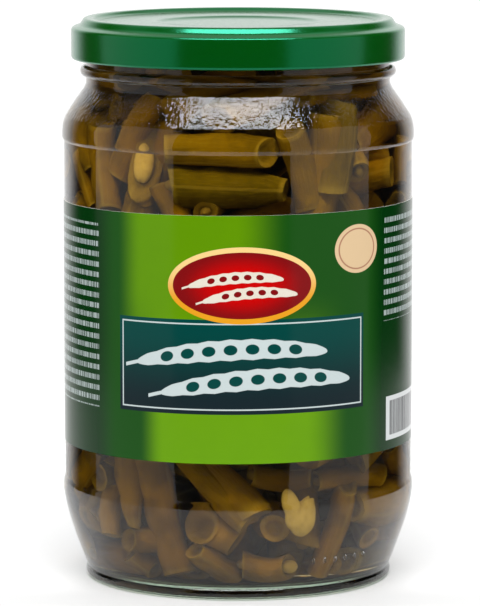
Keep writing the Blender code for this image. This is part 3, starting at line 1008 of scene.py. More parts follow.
@dataclass(frozen=True)
class PodFinish:
    """Cooked pod: olive to amber skin with fibres along it, and pale flesh where it is cut."""

    name: str = "pod_skin"
    olive: Colour = (0.066, 0.043, 0.0006)
    amber: Colour = (0.200, 0.096, 0.0010)
    deep: Colour = (0.022, 0.013, 0.0006)
    flesh: Colour = (0.260, 0.165, 0.014)
    hollow: Colour = (0.070, 0.042, 0.002)

    def material(self) -> bpy.types.Material:
        """Returns the material."""
        paint = Paint(self.name)
        where = paint.place()
        local = paint.attribute("pod_place", "Vector")
        _, y, _ = paint.parts(local)
        # The tone runs from olive to amber; for pods by the neck it is raised as painted light.
        skin = paint.mix(paint.attribute("tone"), self.olive, self.amber)
        mottle = paint.ease(paint.noise(where, 130.0, 3.0), 0.38, 0.66)
        skin = paint.mix(mottle * 0.45, skin, self.deep)
        fibres = paint.noise(paint.stretched(local, (1.6, 1.6, 0.16)), 1.0, 3.0)
        skin = paint.mix(paint.ease(fibres, 0.45, 0.75) * 0.12, skin, self.flesh)
        skin = paint.mix(paint.ease(abs(y), 0.55, 0.25) * 0.22, skin, self.flesh)
        rim = paint.mix(0.45, skin, self.flesh)
        # The hollow middle of a cut face is dark: partly the cavity's own colour, partly painted shade in
        # the recess.
        inner = paint.mix(paint.ease(paint.attribute("radial"), 0.35, 0.75), self.hollow, rim)
        inner = paint.mix(paint.noise(where, 1500.0, 2.0) * 0.6, inner, skin)
        colour = paint.mix(paint.ease(paint.attribute("cut"), 0.3, 0.8), skin, inner)
        paint.set(Base_Color=colour, Roughness=0.45, Specular_IOR_Level=0.0)
        paint.bump(fibres + paint.noise(where, 1 / (1.4 * MM), 1.0), 0.16 * MM)
        return paint.material


@dataclass(frozen=True)
class BeanFinish:
    """Cooked bean: pale cream where it lies open, with darker spots, and darkened as painted shade where it
    sits deep in its pod.
    """

    name: str = "bean_flesh"
    pale: Colour = (0.40, 0.26, 0.045)
    spots_and_deep_shade: Colour = (0.150, 0.088, 0.008)

    def material(self) -> bpy.types.Material:
        """Returns the material."""
        paint = Paint(self.name)
        where = paint.place()
        # Painted shade: beans not marked pale, which sit deep in their pods, take the dark colour.
        colour = paint.mix(paint.attribute("pale"), self.spots_and_deep_shade, self.pale)
        spots = paint.ease(paint.noise(where, 1 / (2.4 * MM), 3.0), 0.40, 0.70)
        colour = paint.mix(spots * 0.35, colour, self.spots_and_deep_shade)
        paint.set(Base_Color=colour, Roughness=0.5, Specular_IOR_Level=0.0)
        paint.bump(paint.noise(where, 1 / (1.1 * MM), 2.0), 0.10 * MM)
        return paint.material


@dataclass
class PodPile:
    """Where every cut pod lies. The CAD model draws and settles them by the same steps."""

    jar: GlassJar
    clearance: float = 0.3
    film: float = 0.5
    gap: float = 1.1
    top_z: float = 135.4
    core: Triple = (27.5, 14.0, 125.0)
    seed: int = 7
    count: int = 250
    radius_range: Point = (4.2, 5.3)
    length_range: Point = (21.0, 34.0)
    end_share: float = 0.6
    glass_index: float = 1.5
    brine_index: float = 1.34
    rounds: int = 260
    push_share: float = 0.45
    pressing: float = 0.25
    sinking: float = 0.1
    front: list[tuple[Triple, Triple, float]] = field(
        default_factory=lambda: [
            ((-20.5, 119.0, 0), (-26.0, 92.0, 0), 4.4),
            ((-18.0, 113.0, 0), (9.5, 112.5, 0), 3.7),
            ((-16.5, 105.0, 0), (11.5, 104.0, 0), 4.9),
            ((-20.0, 125.5, 2), (-31.0, 105.0, 3), 3.6),
            ((-31.0, 123.0, 0), (-22.0, 121.0, 18), 3.4),
            ((-39.5, 119.0, 0), (-35.5, 106.0, 0), 3.5),
            ((-40.0, 110.0, 0), (-35.0, 97.0, 0), 3.0),
            ((-34.5, 119.0, 1), (-31.5, 96.0, 0), 4.4),
            ((-19.5, 104.5, 3), (-12.0, 91.0, 0), 3.3),
            ((-8.0, 98.0, 0), (-8.0, 99.5, 22), 3.2),
            ((12.0, 119.5, 0), (17.5, 98.0, 1), 3.4),
            ((21.5, 120.0, 0), (18.5, 91.0, 0), 4.8),
            ((29.5, 106.5, 0), (31.0, 120.0, 9), 3.4),
            ((29.0, 112.0, 4), (42.0, 121.5, 1), 3.9),
            ((25.0, 103.0, 4), (31.5, 90.0, 0), 4.2),
            ((40.5, 102.0, 0), (41.0, 114.0, 0), 3.1),
            ((15.0, 124.5, 0), (35.0, 125.0, 0), 2.9),
            ((-22.0, 37.0, 0), (-14.0, 6.8, 0), 4.2),
            ((-37.0, 18.0, 0), (-41.5, 28.0, 8), 4.0),
            ((-32.0, 27.0, 3), (-31.5, 15.5, 0), 2.9),
            ((-31.0, 31.0, 0), (-27.0, 40.0, 9), 3.3),
            ((-29.5, 15.0, 0), (-19.0, 16.0, 5), 3.5),
            ((-28.0, 12.0, 2), (-20.0, 7.0, 2), 3.2),
            ((-14.5, 38.0, 0), (2.5, 20.5, 0), 2.9),
            ((-13.0, 21.5, 1), (0.5, 16.0, 2), 4.4),
            ((-11.0, 14.5, 0), (0.0, 7.0, 1), 3.8),
            ((-34.5, 37.0, 0), (-40.5, 24.5, 0), 4.2),
            ((9.0, 19.5, 0), (8.5, 22.0, 22), 3.7),
            ((27.5, 29.0, 0), (19.5, 6.8, 0), 3.1),
            ((20.0, 29.0, 3), (36.5, 28.0, 0), 2.8),
            ((3.0, 31.5, 3), (21.0, 30.0, 4), 3.0),
            ((33.0, 14.5, 0), (38.5, 23.0, 14), 3.5),
            ((0.5, 11.0, 1), (15.5, 9.5, 0), 3.5),
            ((23.5, 9.5, 0), (22.5, 10.0, 20), 3.2),
            ((33.0, 21.0, 3), (43.0, 20.5, 0), 2.6),
            ((38.0, 36.5, 0), (43.0, 24.5, 0), 3.6),
        ]
    )

    def coarse_inside(self) -> list[Point]:
        """The inner face of the glass with the few points that the CAD model gives it."""
        jar = self.jar
        path = [(0.0, jar.floor_z + jar.floor_rise), (jar.floor_r * 0.6, jar.floor_z + jar.floor_rise * 0.6)]
        path += [(jar.floor_r, jar.floor_z)]
        bend(path, (jar.wall_r - 1.3, jar.floor_z + 1.5), (jar.wall_r, jar.heel_ring_z), 3)
        path += [(jar.wall_r, jar.panel[1])]
        bend(path, (jar.wall_r, 118.0), jar.inner_hip, 2)
        bend(path, (36.5, 123.4), (jar.bore_r, jar.bore_low_z), 2)
        path += [(jar.bore_r, jar.rim_z - 1.0)]
        bend(path, (jar.bore_r, jar.rim_z), (jar.bore_r + 0.9, jar.rim_z), 2)
        return path

    def room(self, gap: float) -> tuple[list[float], list[float], float]:
        """The hole that the pods lie in.

        Args:
            gap: How far it stays inside the brine's film.

        Returns:
            The heights and the radii of its wall, and the height of its floor.
        """
        back = self.clearance + self.film + gap
        hole = inset(self.coarse_inside(), back)
        walls = [p for p in hole if p[0] > self.jar.floor_r - 0.5 and p[1] < self.jar.rim_z - 2]
        floor = self.jar.floor_z + self.jar.floor_rise + back
        return [z for _, z in walls], [r for r, _ in walls], floor

    def behind_glass(self, across: float, height: float, depth: float, radius: float) -> Triple:
        """A pod's end, from where it is seen from the front through the glass and the brine.

        Args:
            across: How far right of the axis it is seen.
            height: How high it is.
            depth: How far behind the glass it lies.
            radius: The pod's radius.

        Returns:
            The end's place.
        """
        wall_z, wall_r, _ = self.room(self.gap)
        out = np.interp(height, wall_z, wall_r) - radius
        ring, wall = self.jar.ring_r, self.jar.wall_r
        turn = math.asin(across / ring)
        turn += math.asin(across / self.glass_index / wall) - math.asin(across / self.glass_index / ring)
        turn += math.asin(across / self.brine_index / out) - math.asin(across / self.brine_index / wall)
        return (out - depth) * math.sin(turn), (depth - out) * math.cos(turn), height

    def front_pods(self) -> tuple[np.ndarray, np.ndarray]:
        """Both ends and the radius of each pod at the front."""
        radii = np.array([radius for _, _, radius in self.front])
        ends = np.array([[self.behind_glass(*pod[end], pod[2]) for pod in self.front] for end in (0, 1)])
        lean = ends[1] - ends[0]
        lean *= (self.end_share * radii / np.linalg.norm(lean, axis=1))[:, None]
        return np.stack([ends[0] + lean, ends[1] - lean]), radii

    @staticmethod
    def nearest(
        a0: np.ndarray, a1: np.ndarray, b0: np.ndarray, b1: np.ndarray
    ) -> tuple[np.ndarray, np.ndarray]:
        """How far along each of two lists of segments their nearest points lie, from 0 to 1."""
        d1, d2, r = a1 - a0, b1 - b0, a0 - b0
        a, e, b = (d1 * d1).sum(1), (d2 * d2).sum(1), (d1 * d2).sum(1)
        c, f = (d1 * r).sum(1), (d2 * r).sum(1)
        s = np.clip((b * f - c * e) / np.maximum(a * e - b * b, 1e-9), 0, 1)
        t = np.clip((b * s + f) / e, 0, 1)
        return np.clip((b * t - c) / a, 0, 1), t

    def settled(self) -> tuple[np.ndarray, np.ndarray]:
        """Lets the pods push each other apart.

        Those at the front stay where they are. Each round moves overlapping pods apart at their nearest
        points, presses them towards the glass and down, and brings their ends back inside the hole.

        Returns:
            The two ends and the radius of every pod.
        """
        rng = np.random.default_rng(self.seed)
        wall_z, wall_r, floor = self.room(self.gap)
        radius = rng.uniform(*self.radius_range, self.count)
        reach = rng.uniform(*self.length_range, self.count) - 2 * self.end_share * radius
        height = floor + 5 + (self.top_z - floor - 10) * rng.random(self.count)
        out = self.jar.bore_r * np.sqrt(rng.random(self.count))
        turn = math.tau * rng.random(self.count)
        middle = np.stack([out * np.cos(turn), out * np.sin(turn), height], 1)
        lean = rng.normal(size=(self.count, 3))
        lean /= np.linalg.norm(lean, axis=1)[:, None]
        ends = np.stack([middle - lean * reach[:, None] / 2, middle + lean * reach[:, None] / 2]).round(6)
        front, front_radius = self.front_pods()
        fixed = len(self.front)
        ends[:, :fixed] = front
        radius[:fixed] = front_radius
        reach[:fixed] = np.linalg.norm(front[1] - front[0], axis=1)
        first, second = np.triu_indices(self.count, 1)
        for step in range(self.rounds):
            near = np.linalg.norm(ends.mean(0)[first] - ends.mean(0)[second], axis=1)
            close = near < (reach[first] + reach[second]) / 2 + radius[first] + radius[second]
            i, j = first[close], second[close]
            s, t = self.nearest(ends[0, i], ends[1, i], ends[0, j], ends[1, j])
            apart = (ends[0, i] * (1 - s)[:, None] + ends[1, i] * s[:, None]) - (
                ends[0, j] * (1 - t)[:, None] + ends[1, j] * t[:, None]
            )
            gap = np.linalg.norm(apart, axis=1)
            push = np.maximum(radius[i] + radius[j] - gap, 0) * self.push_share
            way = apart / np.maximum(gap, 1e-6)[:, None] * push[:, None]
            for pod, share, sign in ((i, s, 1), (j, t, -1)):
                np.add.at(ends[0], pod, sign * way * (1 - share)[:, None])
                np.add.at(ends[1], pod, sign * way * share[:, None])
            pressing = self.pressing * (1 - step / self.rounds)
            across = ends[:, :, :2]
            spread = np.maximum(np.linalg.norm(across, axis=2), self.jar.bore_r / 3)
            across *= 1 + pressing / spread[:, :, None]
            ends[:, :, 2] -= pressing * self.sinking
            for _ in range(2):
                middle = ends.mean(0)
                lean = ends[1] - ends[0]
                lean *= (reach / np.linalg.norm(lean, axis=1))[:, None] / 2
                ends = np.stack([middle - lean, middle + lean])
                ends[:, :, 2] = np.clip(ends[:, :, 2], floor + radius, self.top_z - radius)
                limit = np.interp(ends[:, :, 2], wall_z, wall_r) - radius
                spread = np.linalg.norm(ends[:, :, :2], axis=2)
                ends[:, :, :2] *= np.minimum(1, limit / np.maximum(spread, 1e-6))[:, :, None]
                ends[:, :fixed] = front
        return ends, radius


@dataclass
class Pod:
    """One cut pod, with its shape in its own directions: Z along it, and X and Y across."""

    start: np.ndarray
    end: np.ndarray
    radius: float
    spin: float
    bend: float
    slopes: np.ndarray
    offsets: np.ndarray
    tips: np.ndarray
    tone: float
    end_share: float = 0.6
    seed_pitch: Point = (7.5, 9.5)
    seed_swell: float = 0.07
    lump_heights: Point = (0.05, 0.03)
    seam_height: float = 0.06
    seam_width: float = 0.25
    worn_edge: float = 0.955
    hollow_depth: Point = (0.2, 1.6)
    wall_step: float = 0.2

    def __post_init__(self) -> None:
        """Works out its own directions and half its length."""
        axis = Vector(self.end - self.start)
        self.turn = np.array(axis.to_track_quat("Z", "X").to_matrix() @ Matrix.Rotation(self.spin, 3, "Z"))
        self.half = axis.length / 2 + self.radius * self.end_share

    def slant_to(self, end: int, steepness: float, side: Triple) -> None:
        """Cuts an end so that the cut faces one side.

        Args:
            end: 0 for the first end, 1 for the last.
            steepness: How much longer than wide the cut is.
            side: The direction that it faces.
        """
        facing = (self.turn.T @ np.array(side))[:2]
        facing /= np.linalg.norm(facing)
        self.slopes[end] = facing * steepness
        self.offsets[end] = steepness * self.radius

    def cut_back(self, across: np.ndarray, end: int) -> np.ndarray:
        """How far an end is cut back at places across the pod."""
        return across @ self.slopes[end] + self.offsets[end]

    def at(self, local: np.ndarray) -> np.ndarray:
        """The place of points given in the pod's own directions."""
        return (self.start + self.end) / 2 + local @ self.turn.T

    def frame(self, along: float, own: Matrix) -> Matrix:
        """The matrix to a place on the pod's axis, with directions given in the pod's own."""
        matrix = (Matrix(np.round(self.turn, 6).tolist()) @ own).to_4x4()
        matrix.translation = Vector(self.at(np.array([[0.0, 0.0, along]]))[0])
        return matrix

    def shaped(
        self, unit: np.ndarray, extra: np.random.Generator, walls: Point, flatness: float
    ) -> np.ndarray:
        """Bends, bulges and cuts the template.

        Args:
            unit: The template's points.
            extra: Draws the lumps.
            walls: How far out the hollow and the wall reach, as shares of the radius.
            flatness: How much thinner than wide the pod is.

        Returns:
            The points in the pod's own directions.
        """
        radius = self.radius
        out = np.hypot(unit[:, 0], unit[:, 1])
        angle = np.arctan2(unit[:, 1], unit[:, 0])
        along = np.sign(unit[:, 2]) * np.abs(unit[:, 2]) ** 0.8
        last = np.abs(along) > 0.999
        length = along * self.half
        pitch = extra.uniform(*self.seed_pitch)
        seeds = 1 + self.seed_swell * np.cos(length * math.tau / pitch + extra.uniform(0, math.tau))
        lumps = 1 + self.lump_heights[0] * np.sin(2 * angle + extra.uniform(0, math.tau) + length * 0.2)
        lumps += self.lump_heights[1] * np.sin(3 * angle + extra.uniform(0, math.tau) - length * 0.35)
        seam = 1 + self.seam_height * np.exp(-((np.abs(np.sin(angle)) / self.seam_width) ** 2))
        ends = [np.clip(sign * along, 0, 1) ** 2 for sign in (-1, 1)]
        taper = 1 - self.tips[0] * ends[0] - self.tips[1] * ends[1]
        edge = np.where(last & (out > 0.98), self.worn_edge, 1.0)
        x = unit[:, 0] * radius * lumps * taper * seam * edge
        y = unit[:, 1] * radius * flatness * lumps * taper * seeds * edge
        depths = extra.uniform(*self.hollow_depth, 2)
        z = length
        for end, sign in ((0, -1), (1, 1)):
            share = ((1 + sign * along) / 2) ** 1.5
            z = z - sign * share * self.cut_back(np.stack([x, y], 1), end)
            here = sign * along > 0.999
            z = z - sign * np.where(here & (out < walls[0] * 1.1), depths[end], 0.0)
            z = z - sign * np.where(here & (out < walls[1] * 1.1), self.wall_step, 0.0)
        return np.stack([x + self.bend * (1 - along * along), y, z], 1)


@dataclass
class CutPods:
    """All the cut pods, as one piece of separate closed shapes, and the beans in some of them as another."""

    pile: PodPile
    front_grid: tuple[int, int] = (18, 9)
    plain_grid: tuple[int, int] = (10, 4)
    bend: float = 1.6
    slant: float = 0.35
    more_slant: float = 0.30
    flatness: float = 0.90
    margins: Point = (0.0, 0.6)
    nearer: float = 1.45
    off_glass: float = 0.42
    sink: float = 4.7
    front_sink: float = 1.2
    walls: Point = (0.5, 0.74)
    tip_share: float = 0.15
    seed_share: float = 0.22
    towards_viewer: Triple = (0.0, -1.0, 0.1)
    facing_cuts: dict[int, tuple[int, float]] = field(
        default_factory=lambda: {
            **{0: (0, 2.1), 1: (1, 0.6), 7: (0, 0.5), 10: (0, 0.6), 11: (1, 0.5)},
            **{16: (0, 0.4), 17: (1, 0.25), 21: (0, 0.7), 22: (1, 0.5), 24: (0, 0.9)},
            **{28: (0, 0.5), 30: (1, 0.4), 32: (1, 0.8), 33: (0, 0.4)},
        }
    )
    nudges: dict[int, Point] = field(
        default_factory=lambda: {0: (-1.5, 0.0), 2: (-0.8, -0.8), 4: (-3.0, -3.0), 13: (0.0, -3.5)}
    )
    girths: dict[int, float] = field(default_factory=lambda: {2: 1.22})
    front_tips: dict[int, Point] = field(
        default_factory=lambda: {2: (0.05, 0.5), 25: (0.1, 0.3), 5: (0.2, 0.2)}
    )
    # The tone of each front pod. Pods 3, 4 and 16, by the neck, are set lighter as painted light, since they
    # lie in the lid's shade.
    front_tones_and_light: tuple[float, ...] = (
        *(0.50, 0.48, 0.08, 0.90, 0.75, 0.55, 0.80, 0.75, 0.85, 0.50, 0.50, 0.55),
        *(0.60, 1.00, 0.50, 0.90, 0.95, 0.90, 0.80, 0.85, 0.95, 0.80, 0.80, 0.65),
        *(0.90, 0.80, 0.80, 0.95, 0.90, 0.80, 0.75, 0.95, 0.80, 0.75, 0.75, 0.85),
    )
    finish: PodFinish = PodFinish()
    # Painted light: the tone that pods by the neck are raised to.
    neck_painted_light_tone: float = 0.95
    front_evenness: float = 0.4
    bright_end: tuple[int, int] = (32, 1)
    bright_size: float = 0.55
    seed_sizes: Point = (0.36, 0.50)
    seed_depths: Point = (0.2, 0.7)
    seed_shape: Triple = (1.0, 0.8, 1.15)
    steep_cut: float = 1.5
    long_bean: Triple = (2.1, 4.7, 2.0)
    next_bean: Triple = (2.2, 5.2, 1.6)
    next_place: Triple = (0.9, -0.6, -0.3)
    seed_finish: BeanFinish = BeanFinish()
    split_place: Triple = (14.9, 21.5, -0.9)
    split_thickness: float = 1.2
    split_rounding: float = 0.06
    split_outline: tuple[Point, ...] = (
        *((-3.8, 6.7), (-2.2, 6.7), (-0.8, 5.0), (0.3, 2.5), (1.8, 2.3), (2.7, 3.2)),
        *((3.3, 4.8), (4.1, 4.3), (4.0, 2.8), (4.3, 0.0), (3.4, -3.4), (1.4, -4.9)),
        *((-0.4, -4.7), (-2.1, -3.0), (-3.4, 0.9), (-4.3, 5.1)),
    )

    def template(self, grid: tuple[int, int]) -> tuple[bpy.types.Mesh, np.ndarray]:
        """A pod of radius 1 from -1 to 1 along Z, with two insets in each cut face.

        Args:
            grid: How many sides and rings it has.

        Returns:
            The mesh and its points.
        """
        sides, rings = grid
        bm = bmesh.new()
        bmesh.ops.create_cone(bm, cap_ends=True, segments=sides, radius1=1, radius2=1, depth=2)
        long_edges = [e for e in bm.edges if abs(e.verts[0].co.z - e.verts[1].co.z) > 1]
        bmesh.ops.subdivide_edges(bm, edges=long_edges, cuts=rings)
        caps = [f for f in bm.faces if abs(f.normal.z) > 0.9]
        for share in (1 - self.walls[1], self.walls[1] - self.walls[0]):
            bmesh.ops.inset_region(bm, faces=caps, thickness=share, use_even_offset=True)
        mesh = bpy.data.meshes.new("pod_template")
        bm.to_mesh(mesh)
        bm.free()
        unit = np.zeros(len(mesh.vertices) * 3)
        mesh.vertices.foreach_get("co", unit)
        return mesh, unit.reshape(-1, 3)

    def pods(self) -> list[Pod]:
        """Every pod, with the slants and bends that the CAD model draws too."""
        pile = self.pile
        ends, radii = pile.settled()
        wall_z, wall_r, _ = pile.room(pile.gap)
        rng, extra, deep = (np.random.default_rng(pile.seed + k) for k in (1, 2, 3))
        core_r, core_low, core_high = pile.core
        made = []
        for index, (start, end, radius) in enumerate(zip(ends[0], ends[1], radii)):
            middle = (start + end) / 2
            shown = math.hypot(middle[0], middle[1]) > core_r or not core_low < middle[2] < core_high
            draw = rng if shown else deep
            spin, bend = draw.uniform(0, math.tau), draw.uniform(-self.bend, self.bend)
            slants = draw.uniform(-self.slant, self.slant, 2)
            draw.uniform(*self.margins)
            slopes = extra.normal(size=(2, 2)) * self.more_slant
            slopes[:, 1] += slants * (1, -1)
            tips = np.zeros(2)
            if extra.random() < self.tip_share:
                tips[extra.integers(2)] = extra.uniform(0.3, 0.65)
            limit = np.interp([start[2], end[2]], wall_z, wall_r) - radius
            moved = [np.array([*(p[:2] * w), p[2]]) for p, w in zip((start, end), 1 + self.nearer / limit)]
            tone = extra.random()
            radius *= self.girths.get(index, 1.0)
            front = index < len(pile.front)
            sink = self.front_sink if front else self.sink
            for point, nudge in zip(moved, self.nudges.get(index, (0.0, 0.0))):
                point[2] += nudge - sink * (1 - smooth(point[2], 8.0, 40.0))
            if front:
                slopes *= self.front_evenness
                tips = np.array(self.front_tips.get(index, (0.0, 0.0)))
                tone = self.front_tones_and_light[index]
            # Painted light: pods high in the jar, in the lid's shade by the neck, are raised to a light
            # amber tone.
            tone = max(tone, self.neck_painted_light_tone * smooth(middle[2], 116.0, 126.0))
            offsets = np.linalg.norm(slopes, axis=1) * radius * 0.6
            pod = Pod(moved[0], moved[1], radius, spin, bend, slopes, offsets, tips, tone)
            if index in self.facing_cuts:
                pod.slant_to(*self.facing_cuts[index], self.towards_viewer)
            made.append(pod)
        return made

    def kept_in(self, points: np.ndarray) -> np.ndarray:
        """Keeps points inside the brine, off the wall and the bottom of the glass."""
        jar = self.pile.jar
        inside = inset(jar.inside(), self.off_glass)
        wall = [p for p in inside if p[0] > jar.bottom_r - 0.5 and p[1] < jar.rim_z - 2]
        bottom = [p for p in inside if p[0] < jar.bottom_r and p[1] < jar.rim_z / 2]
        spread = np.hypot(points[:, 0], points[:, 1])
        low = np.interp(spread, [r for r, _ in bottom], [z for _, z in bottom])
        points[:, 2] = np.clip(points[:, 2], low, self.pile.top_z)
        limit = np.interp(points[:, 2], [z for _, z in wall], [r for r, _ in wall])
        points[:, :2] *= np.minimum(1, limit / np.maximum(spread, 1e-6))[:, None]
        return points

    def build(self) -> bpy.types.Object:
        """Returns the finished pods, with their tone, cut faces and own directions as attributes."""
        pods = self.pods()
        extra = np.random.default_rng(self.pile.seed + 4)
        templates = [self.template(grid) for grid in (self.front_grid, self.plain_grid)]
        bm = bmesh.new()
        tones, cuts, radials, locals_ = [], [], [], []
        for index, pod in enumerate(pods):
            mesh, unit = templates[int(index >= len(self.pile.front))]
            local = pod.shaped(unit, extra, self.walls, self.flatness)
            mesh.vertices.foreach_set("co", self.kept_in(pod.at(local)).ravel())
            bm.from_mesh(mesh)
            tones.append(np.full(len(unit), pod.tone))
            cuts.append((np.abs(unit[:, 2]) > 0.999).astype(float))
            radials.append(np.hypot(unit[:, 0], unit[:, 1]))
            locals_.append(local)
        for mesh, _ in templates:
            bpy.data.meshes.remove(mesh)
        bmesh.ops.recalc_face_normals(bm, faces=bm.faces)
        piece = piece_from(bm, "cut_pods", 50.0)
        for name, values in (("tone", tones), ("cut", cuts), ("radial", radials), ("pod_place", locals_)):
            self.attribute(piece, name, np.concatenate(values))
        self.seeds(pods)
        return placed(piece, Body.VESSEL, "bean_skin", ["cut_beans"], self.finish.material())

    def seeds(self, pods: list[Pod]) -> bpy.types.Object:
        """Makes the pale beans that show in the cut ends, and the split one that lies loose by the glass.

        Args:
            pods: Every pod.

        Returns:
            The beans, as one piece.
        """
        extra = np.random.default_rng(self.pile.seed + 5)
        bm = bmesh.new()
        pale = []
        for index, pod in enumerate(pods):
            cut_end, steepness = self.facing_cuts.get(index, (0, 0.0))
            if steepness > self.steep_cut:
                pale.append(len(self.long_seed(bm, pod, cut_end)) * [True])
                continue
            for end, sign in ((0, -1), (1, 1)):
                bright = (index, end) == self.bright_end
                if (extra.random() > self.seed_share or pod.tips[end] > 0.3) and not bright:
                    continue
                size = pod.radius * (self.bright_size if bright else extra.uniform(*self.seed_sizes))
                depth = size * (0.0 if bright else extra.uniform(*self.seed_depths))
                matrix = pod.frame(sign * (pod.half - pod.offsets[end] - depth), Matrix.Identity(3))
                shape = Matrix.Diagonal((*(size * share for share in self.seed_shape), 1.0))
                # Painted shade: every seed but the bright one is marked not pale, so it is painted dark as
                # it sits deep in its pod.
                pale.append(len(self.ball(bm, matrix @ shape)) * [bright])
        pale.append(len(self.split_bean(bm)) * [True])
        piece = piece_from(bm, "bean_seeds", 60.0)
        self.attribute(piece, "pale", np.concatenate(pale))
        return placed(piece, Body.VESSEL, "bean_skin", ["cut_beans"], self.seed_finish.material())

    @staticmethod
    def ball(bm: bmesh.types.BMesh, matrix: Matrix, detail: int = 2) -> list[bmesh.types.BMVert]:
        """Adds a round bean of radius 1, under a matrix."""
        return bmesh.ops.create_icosphere(bm, subdivisions=detail, radius=1, matrix=matrix)["verts"]

    def long_seed(self, bm: bmesh.types.BMesh, pod: Pod, end: int) -> list[bmesh.types.BMVert]:
        """Lays a long bean in a slanting cut, with the edge of another one behind it.

        Args:
            bm: The beans' mesh.
            pod: The pod.
            end: Which of its ends is cut.

        Returns:
            Their vertices.
        """
        sign = (-1, 1)[end]
        slope = Vector((*pod.slopes[end], 0.0))
        out = Vector((slope.x, slope.y, sign)).normalized()
        across = Vector((-slope.y, slope.x, 0.0)).normalized()
        down = out.cross(across)
        own = Matrix((across, down, out)).transposed()
        matrix = pod.frame(sign * (pod.half - pod.offsets[end] * 0.97), own)
        behind = Matrix.Translation(self.next_place) @ Matrix.Diagonal((*self.next_bean, 1.0))
        verts = self.ball(bm, matrix @ Matrix.Diagonal((*self.long_bean, 1.0)), 3)
        return verts + self.ball(bm, matrix @ behind, 3)

    def split_bean(self, bm: bmesh.types.BMesh) -> list[bmesh.types.BMVert]:
        """Lays a split bean flat against the glass: a long arm, a notch, a short sprout and a round foot.

        Args:
            bm: The beans' mesh.

        Returns:
            Its vertices.
        """
        place = self.pile.behind_glass(*self.split_place, self.split_thickness)
        outline = sorted((math.atan2(z, x), math.hypot(x, z)) for x, z in self.split_outline)
        angles, reaches = zip(*outline)
        nearby = np.array((-self.split_rounding, 0.0, self.split_rounding))
        verts = self.ball(bm, Matrix.Identity(4), 4)
        for vert in verts:
            angle = math.atan2(vert.co.z, vert.co.x) + nearby
            reach = float(np.interp(angle, angles, reaches, period=math.tau).mean())
            vert.co = (vert.co.x * reach, vert.co.y * self.split_thickness, vert.co.z * reach)
        around = Matrix.Rotation(math.atan2(place[0], -place[1]), 4, "Z")
        bmesh.ops.transform(bm, matrix=Matrix.Translation(place) @ around, verts=verts)
        return verts

    @staticmethod
    def attribute(piece: bpy.types.Object, name: str, values: np.ndarray) -> None:
        """Stores numbers or vectors on the piece's vertices."""
        kind, key = ("FLOAT", "value") if values.ndim == 1 else ("FLOAT_VECTOR", "vector")
        made = piece.data.attributes.new(name, kind, "POINT")
        made.data.foreach_set(key, values.astype(np.float32).ravel())


# Studio


@dataclass(frozen=True)
class Softbox:
    """A large soft lamp that points at the middle of the jar."""

    name: str
    azimuth: float
    elevation: float
    distance: float
    width: float
    height: float
    power: float

    def build(self) -> None:
        """Makes the lamp."""
        data = bpy.data.lights.new(self.name, "AREA")
        data.shape = "RECTANGLE"
        data.size, data.size_y = self.width, self.height
        data.energy = self.power
        lamp = bpy.data.objects.new(self.name, data)
        bpy.context.scene.collection.objects.link(lamp)
        turn, rise = math.radians(self.azimuth), math.radians(self.elevation)
        way = Vector((math.sin(turn) * math.cos(rise), -math.cos(turn) * math.cos(rise), math.sin(rise)))
        lamp.location = Vector((0, 0, 0.08)) + way * self.distance
        lamp.rotation_euler = way.to_track_quat("Z", "Y").to_euler()
        lamp.visible_transmission = False
        lamp.visible_camera = False


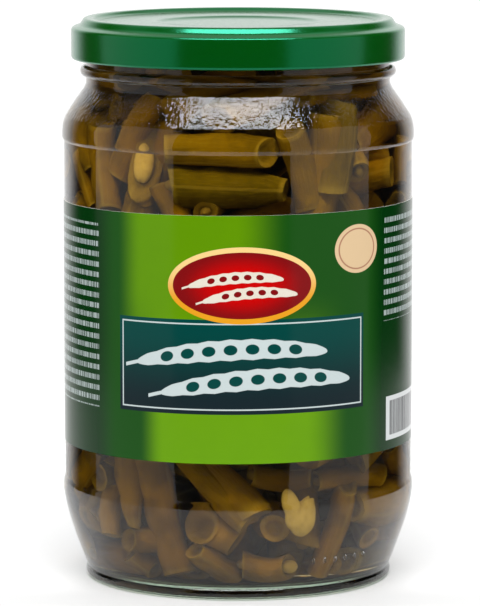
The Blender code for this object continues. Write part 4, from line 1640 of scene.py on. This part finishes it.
@dataclass
class Studio:
    """A white table in a bright room that is dark in front, two softboxes and one lamp overhead.

    The table is painted darker in front of the jar, where the lamp overhead is strongest: painted shade that
    evens out the lamp's pool of light.
    It still looks white there, and the foot of the glass mirrors less of it.
    """

    table_r: float = 0.38
    table_white: Colour = (0.82, 0.82, 0.82)
    table_front_painted_shade: Colour = (0.58, 0.58, 0.58)
    table_fade: Point = (-0.035, -0.005)
    lens: float = 259.3
    camera_place: Triple = (0.0005, -1.113, 0.219)
    camera_tilt: float = 7.62
    seen: float = 1.1
    behind: float = 1.2
    ceiling: float = 0.8
    fill: float = 0.9
    dark: float = 0.02
    lamps: list[Softbox] = field(
        default_factory=lambda: [
            Softbox("softbox_left", -73.5, 8.0, 0.75, 0.95, 0.8, 1.5),
            Softbox("softbox_right", 63.5, 8.0, 0.75, 0.88, 0.8, 1.4),
            Softbox("overhead", 0.0, 65.0, 0.95, 0.95, 0.32, 12.0),
        ]
    )

    def build(self) -> None:
        """Makes the table, the surroundings, the lamps and the camera."""
        self.table()
        self.surroundings()
        for lamp in self.lamps:
            lamp.build()
        self.camera()

    def table(self) -> None:
        """Makes a round white table top."""
        bm = bmesh.new()
        bmesh.ops.create_circle(bm, cap_ends=True, segments=96, radius=self.table_r / MM)
        bmesh.ops.translate(bm, vec=(0, 0, -0.05), verts=bm.verts)
        top = piece_from(bm, "table_top")
        paint = Paint("white_board")
        where = paint.place()
        _, y, _ = paint.parts(where)
        # Painted shade: the board is darker in front of the jar, against the overhead lamp's pool of light.
        shade = paint.mix(paint.ease(y, *self.table_fade), self.table_front_painted_shade, self.table_white)
        grain = paint.noise(where, 400.0, 3.0) * 0.04
        paint.set(Base_Color=paint.mix(grain, shade, (0.5, 0.5, 0.5)), Roughness=0.6)
        top.data.materials.append(paint.material)

    def surroundings(self) -> None:
        """White all round for what is seen straight or through the glass, and dark in front for gloss."""
        world = bpy.data.worlds.new("studio")
        world.use_nodes = True
        bpy.context.scene.world = world
        world.cycles.sampling_method = "NONE"
        nodes = Nodes(world.node_tree)
        path = nodes.node("ShaderNodeLightPath")
        _, y, z = nodes.parts(nodes.place("Generated"))
        behind = nodes.ease(y, 0.62, 0.90, self.dark, self.behind)
        above = nodes.ease(y, -0.15, 0.30, 0.0, self.ceiling) * nodes.ease(z, 0.50, 0.85)
        gloss = nodes.maths("MAXIMUM", behind, above)
        soft = nodes.blend(path.outputs["Is Diffuse Ray"], self.seen, self.fill)
        background = world.node_tree.nodes["Background"]
        nodes.feed(background.inputs["Strength"], nodes.blend(path.outputs["Is Glossy Ray"], soft, gloss))
        nodes.feed(background.inputs["Color"], (1.0, 1.0, 1.0))

    def camera(self) -> None:
        """The camera, where the photograph was taken from."""
        data = bpy.data.cameras.new("camera")
        data.lens = self.lens
        data.sensor_width = 36.0
        data.clip_start = 0.05
        camera = bpy.data.objects.new("camera", data)
        bpy.context.scene.collection.objects.link(camera)
        camera.location = self.camera_place
        camera.rotation_euler = (math.radians(90 - self.camera_tilt), 0, 0)
        bpy.context.scene.camera = camera
        bpy.context.scene.view_settings.view_transform = "Standard"


def main() -> None:
    """Builds the jar's pieces in order, and the studio round them."""
    logging.basicConfig(level=logging.INFO, format="%(name)s: %(message)s")
    jar = GlassJar()
    jar.build()
    jar.moulded_dots()
    BrineFill(jar).build()
    CutPods(PodPile(jar)).build()
    PaperLabel().build()
    TwistLid().build()
    SealingRing().build()
    Studio().build()


if __name__ == "__main__":
    main()
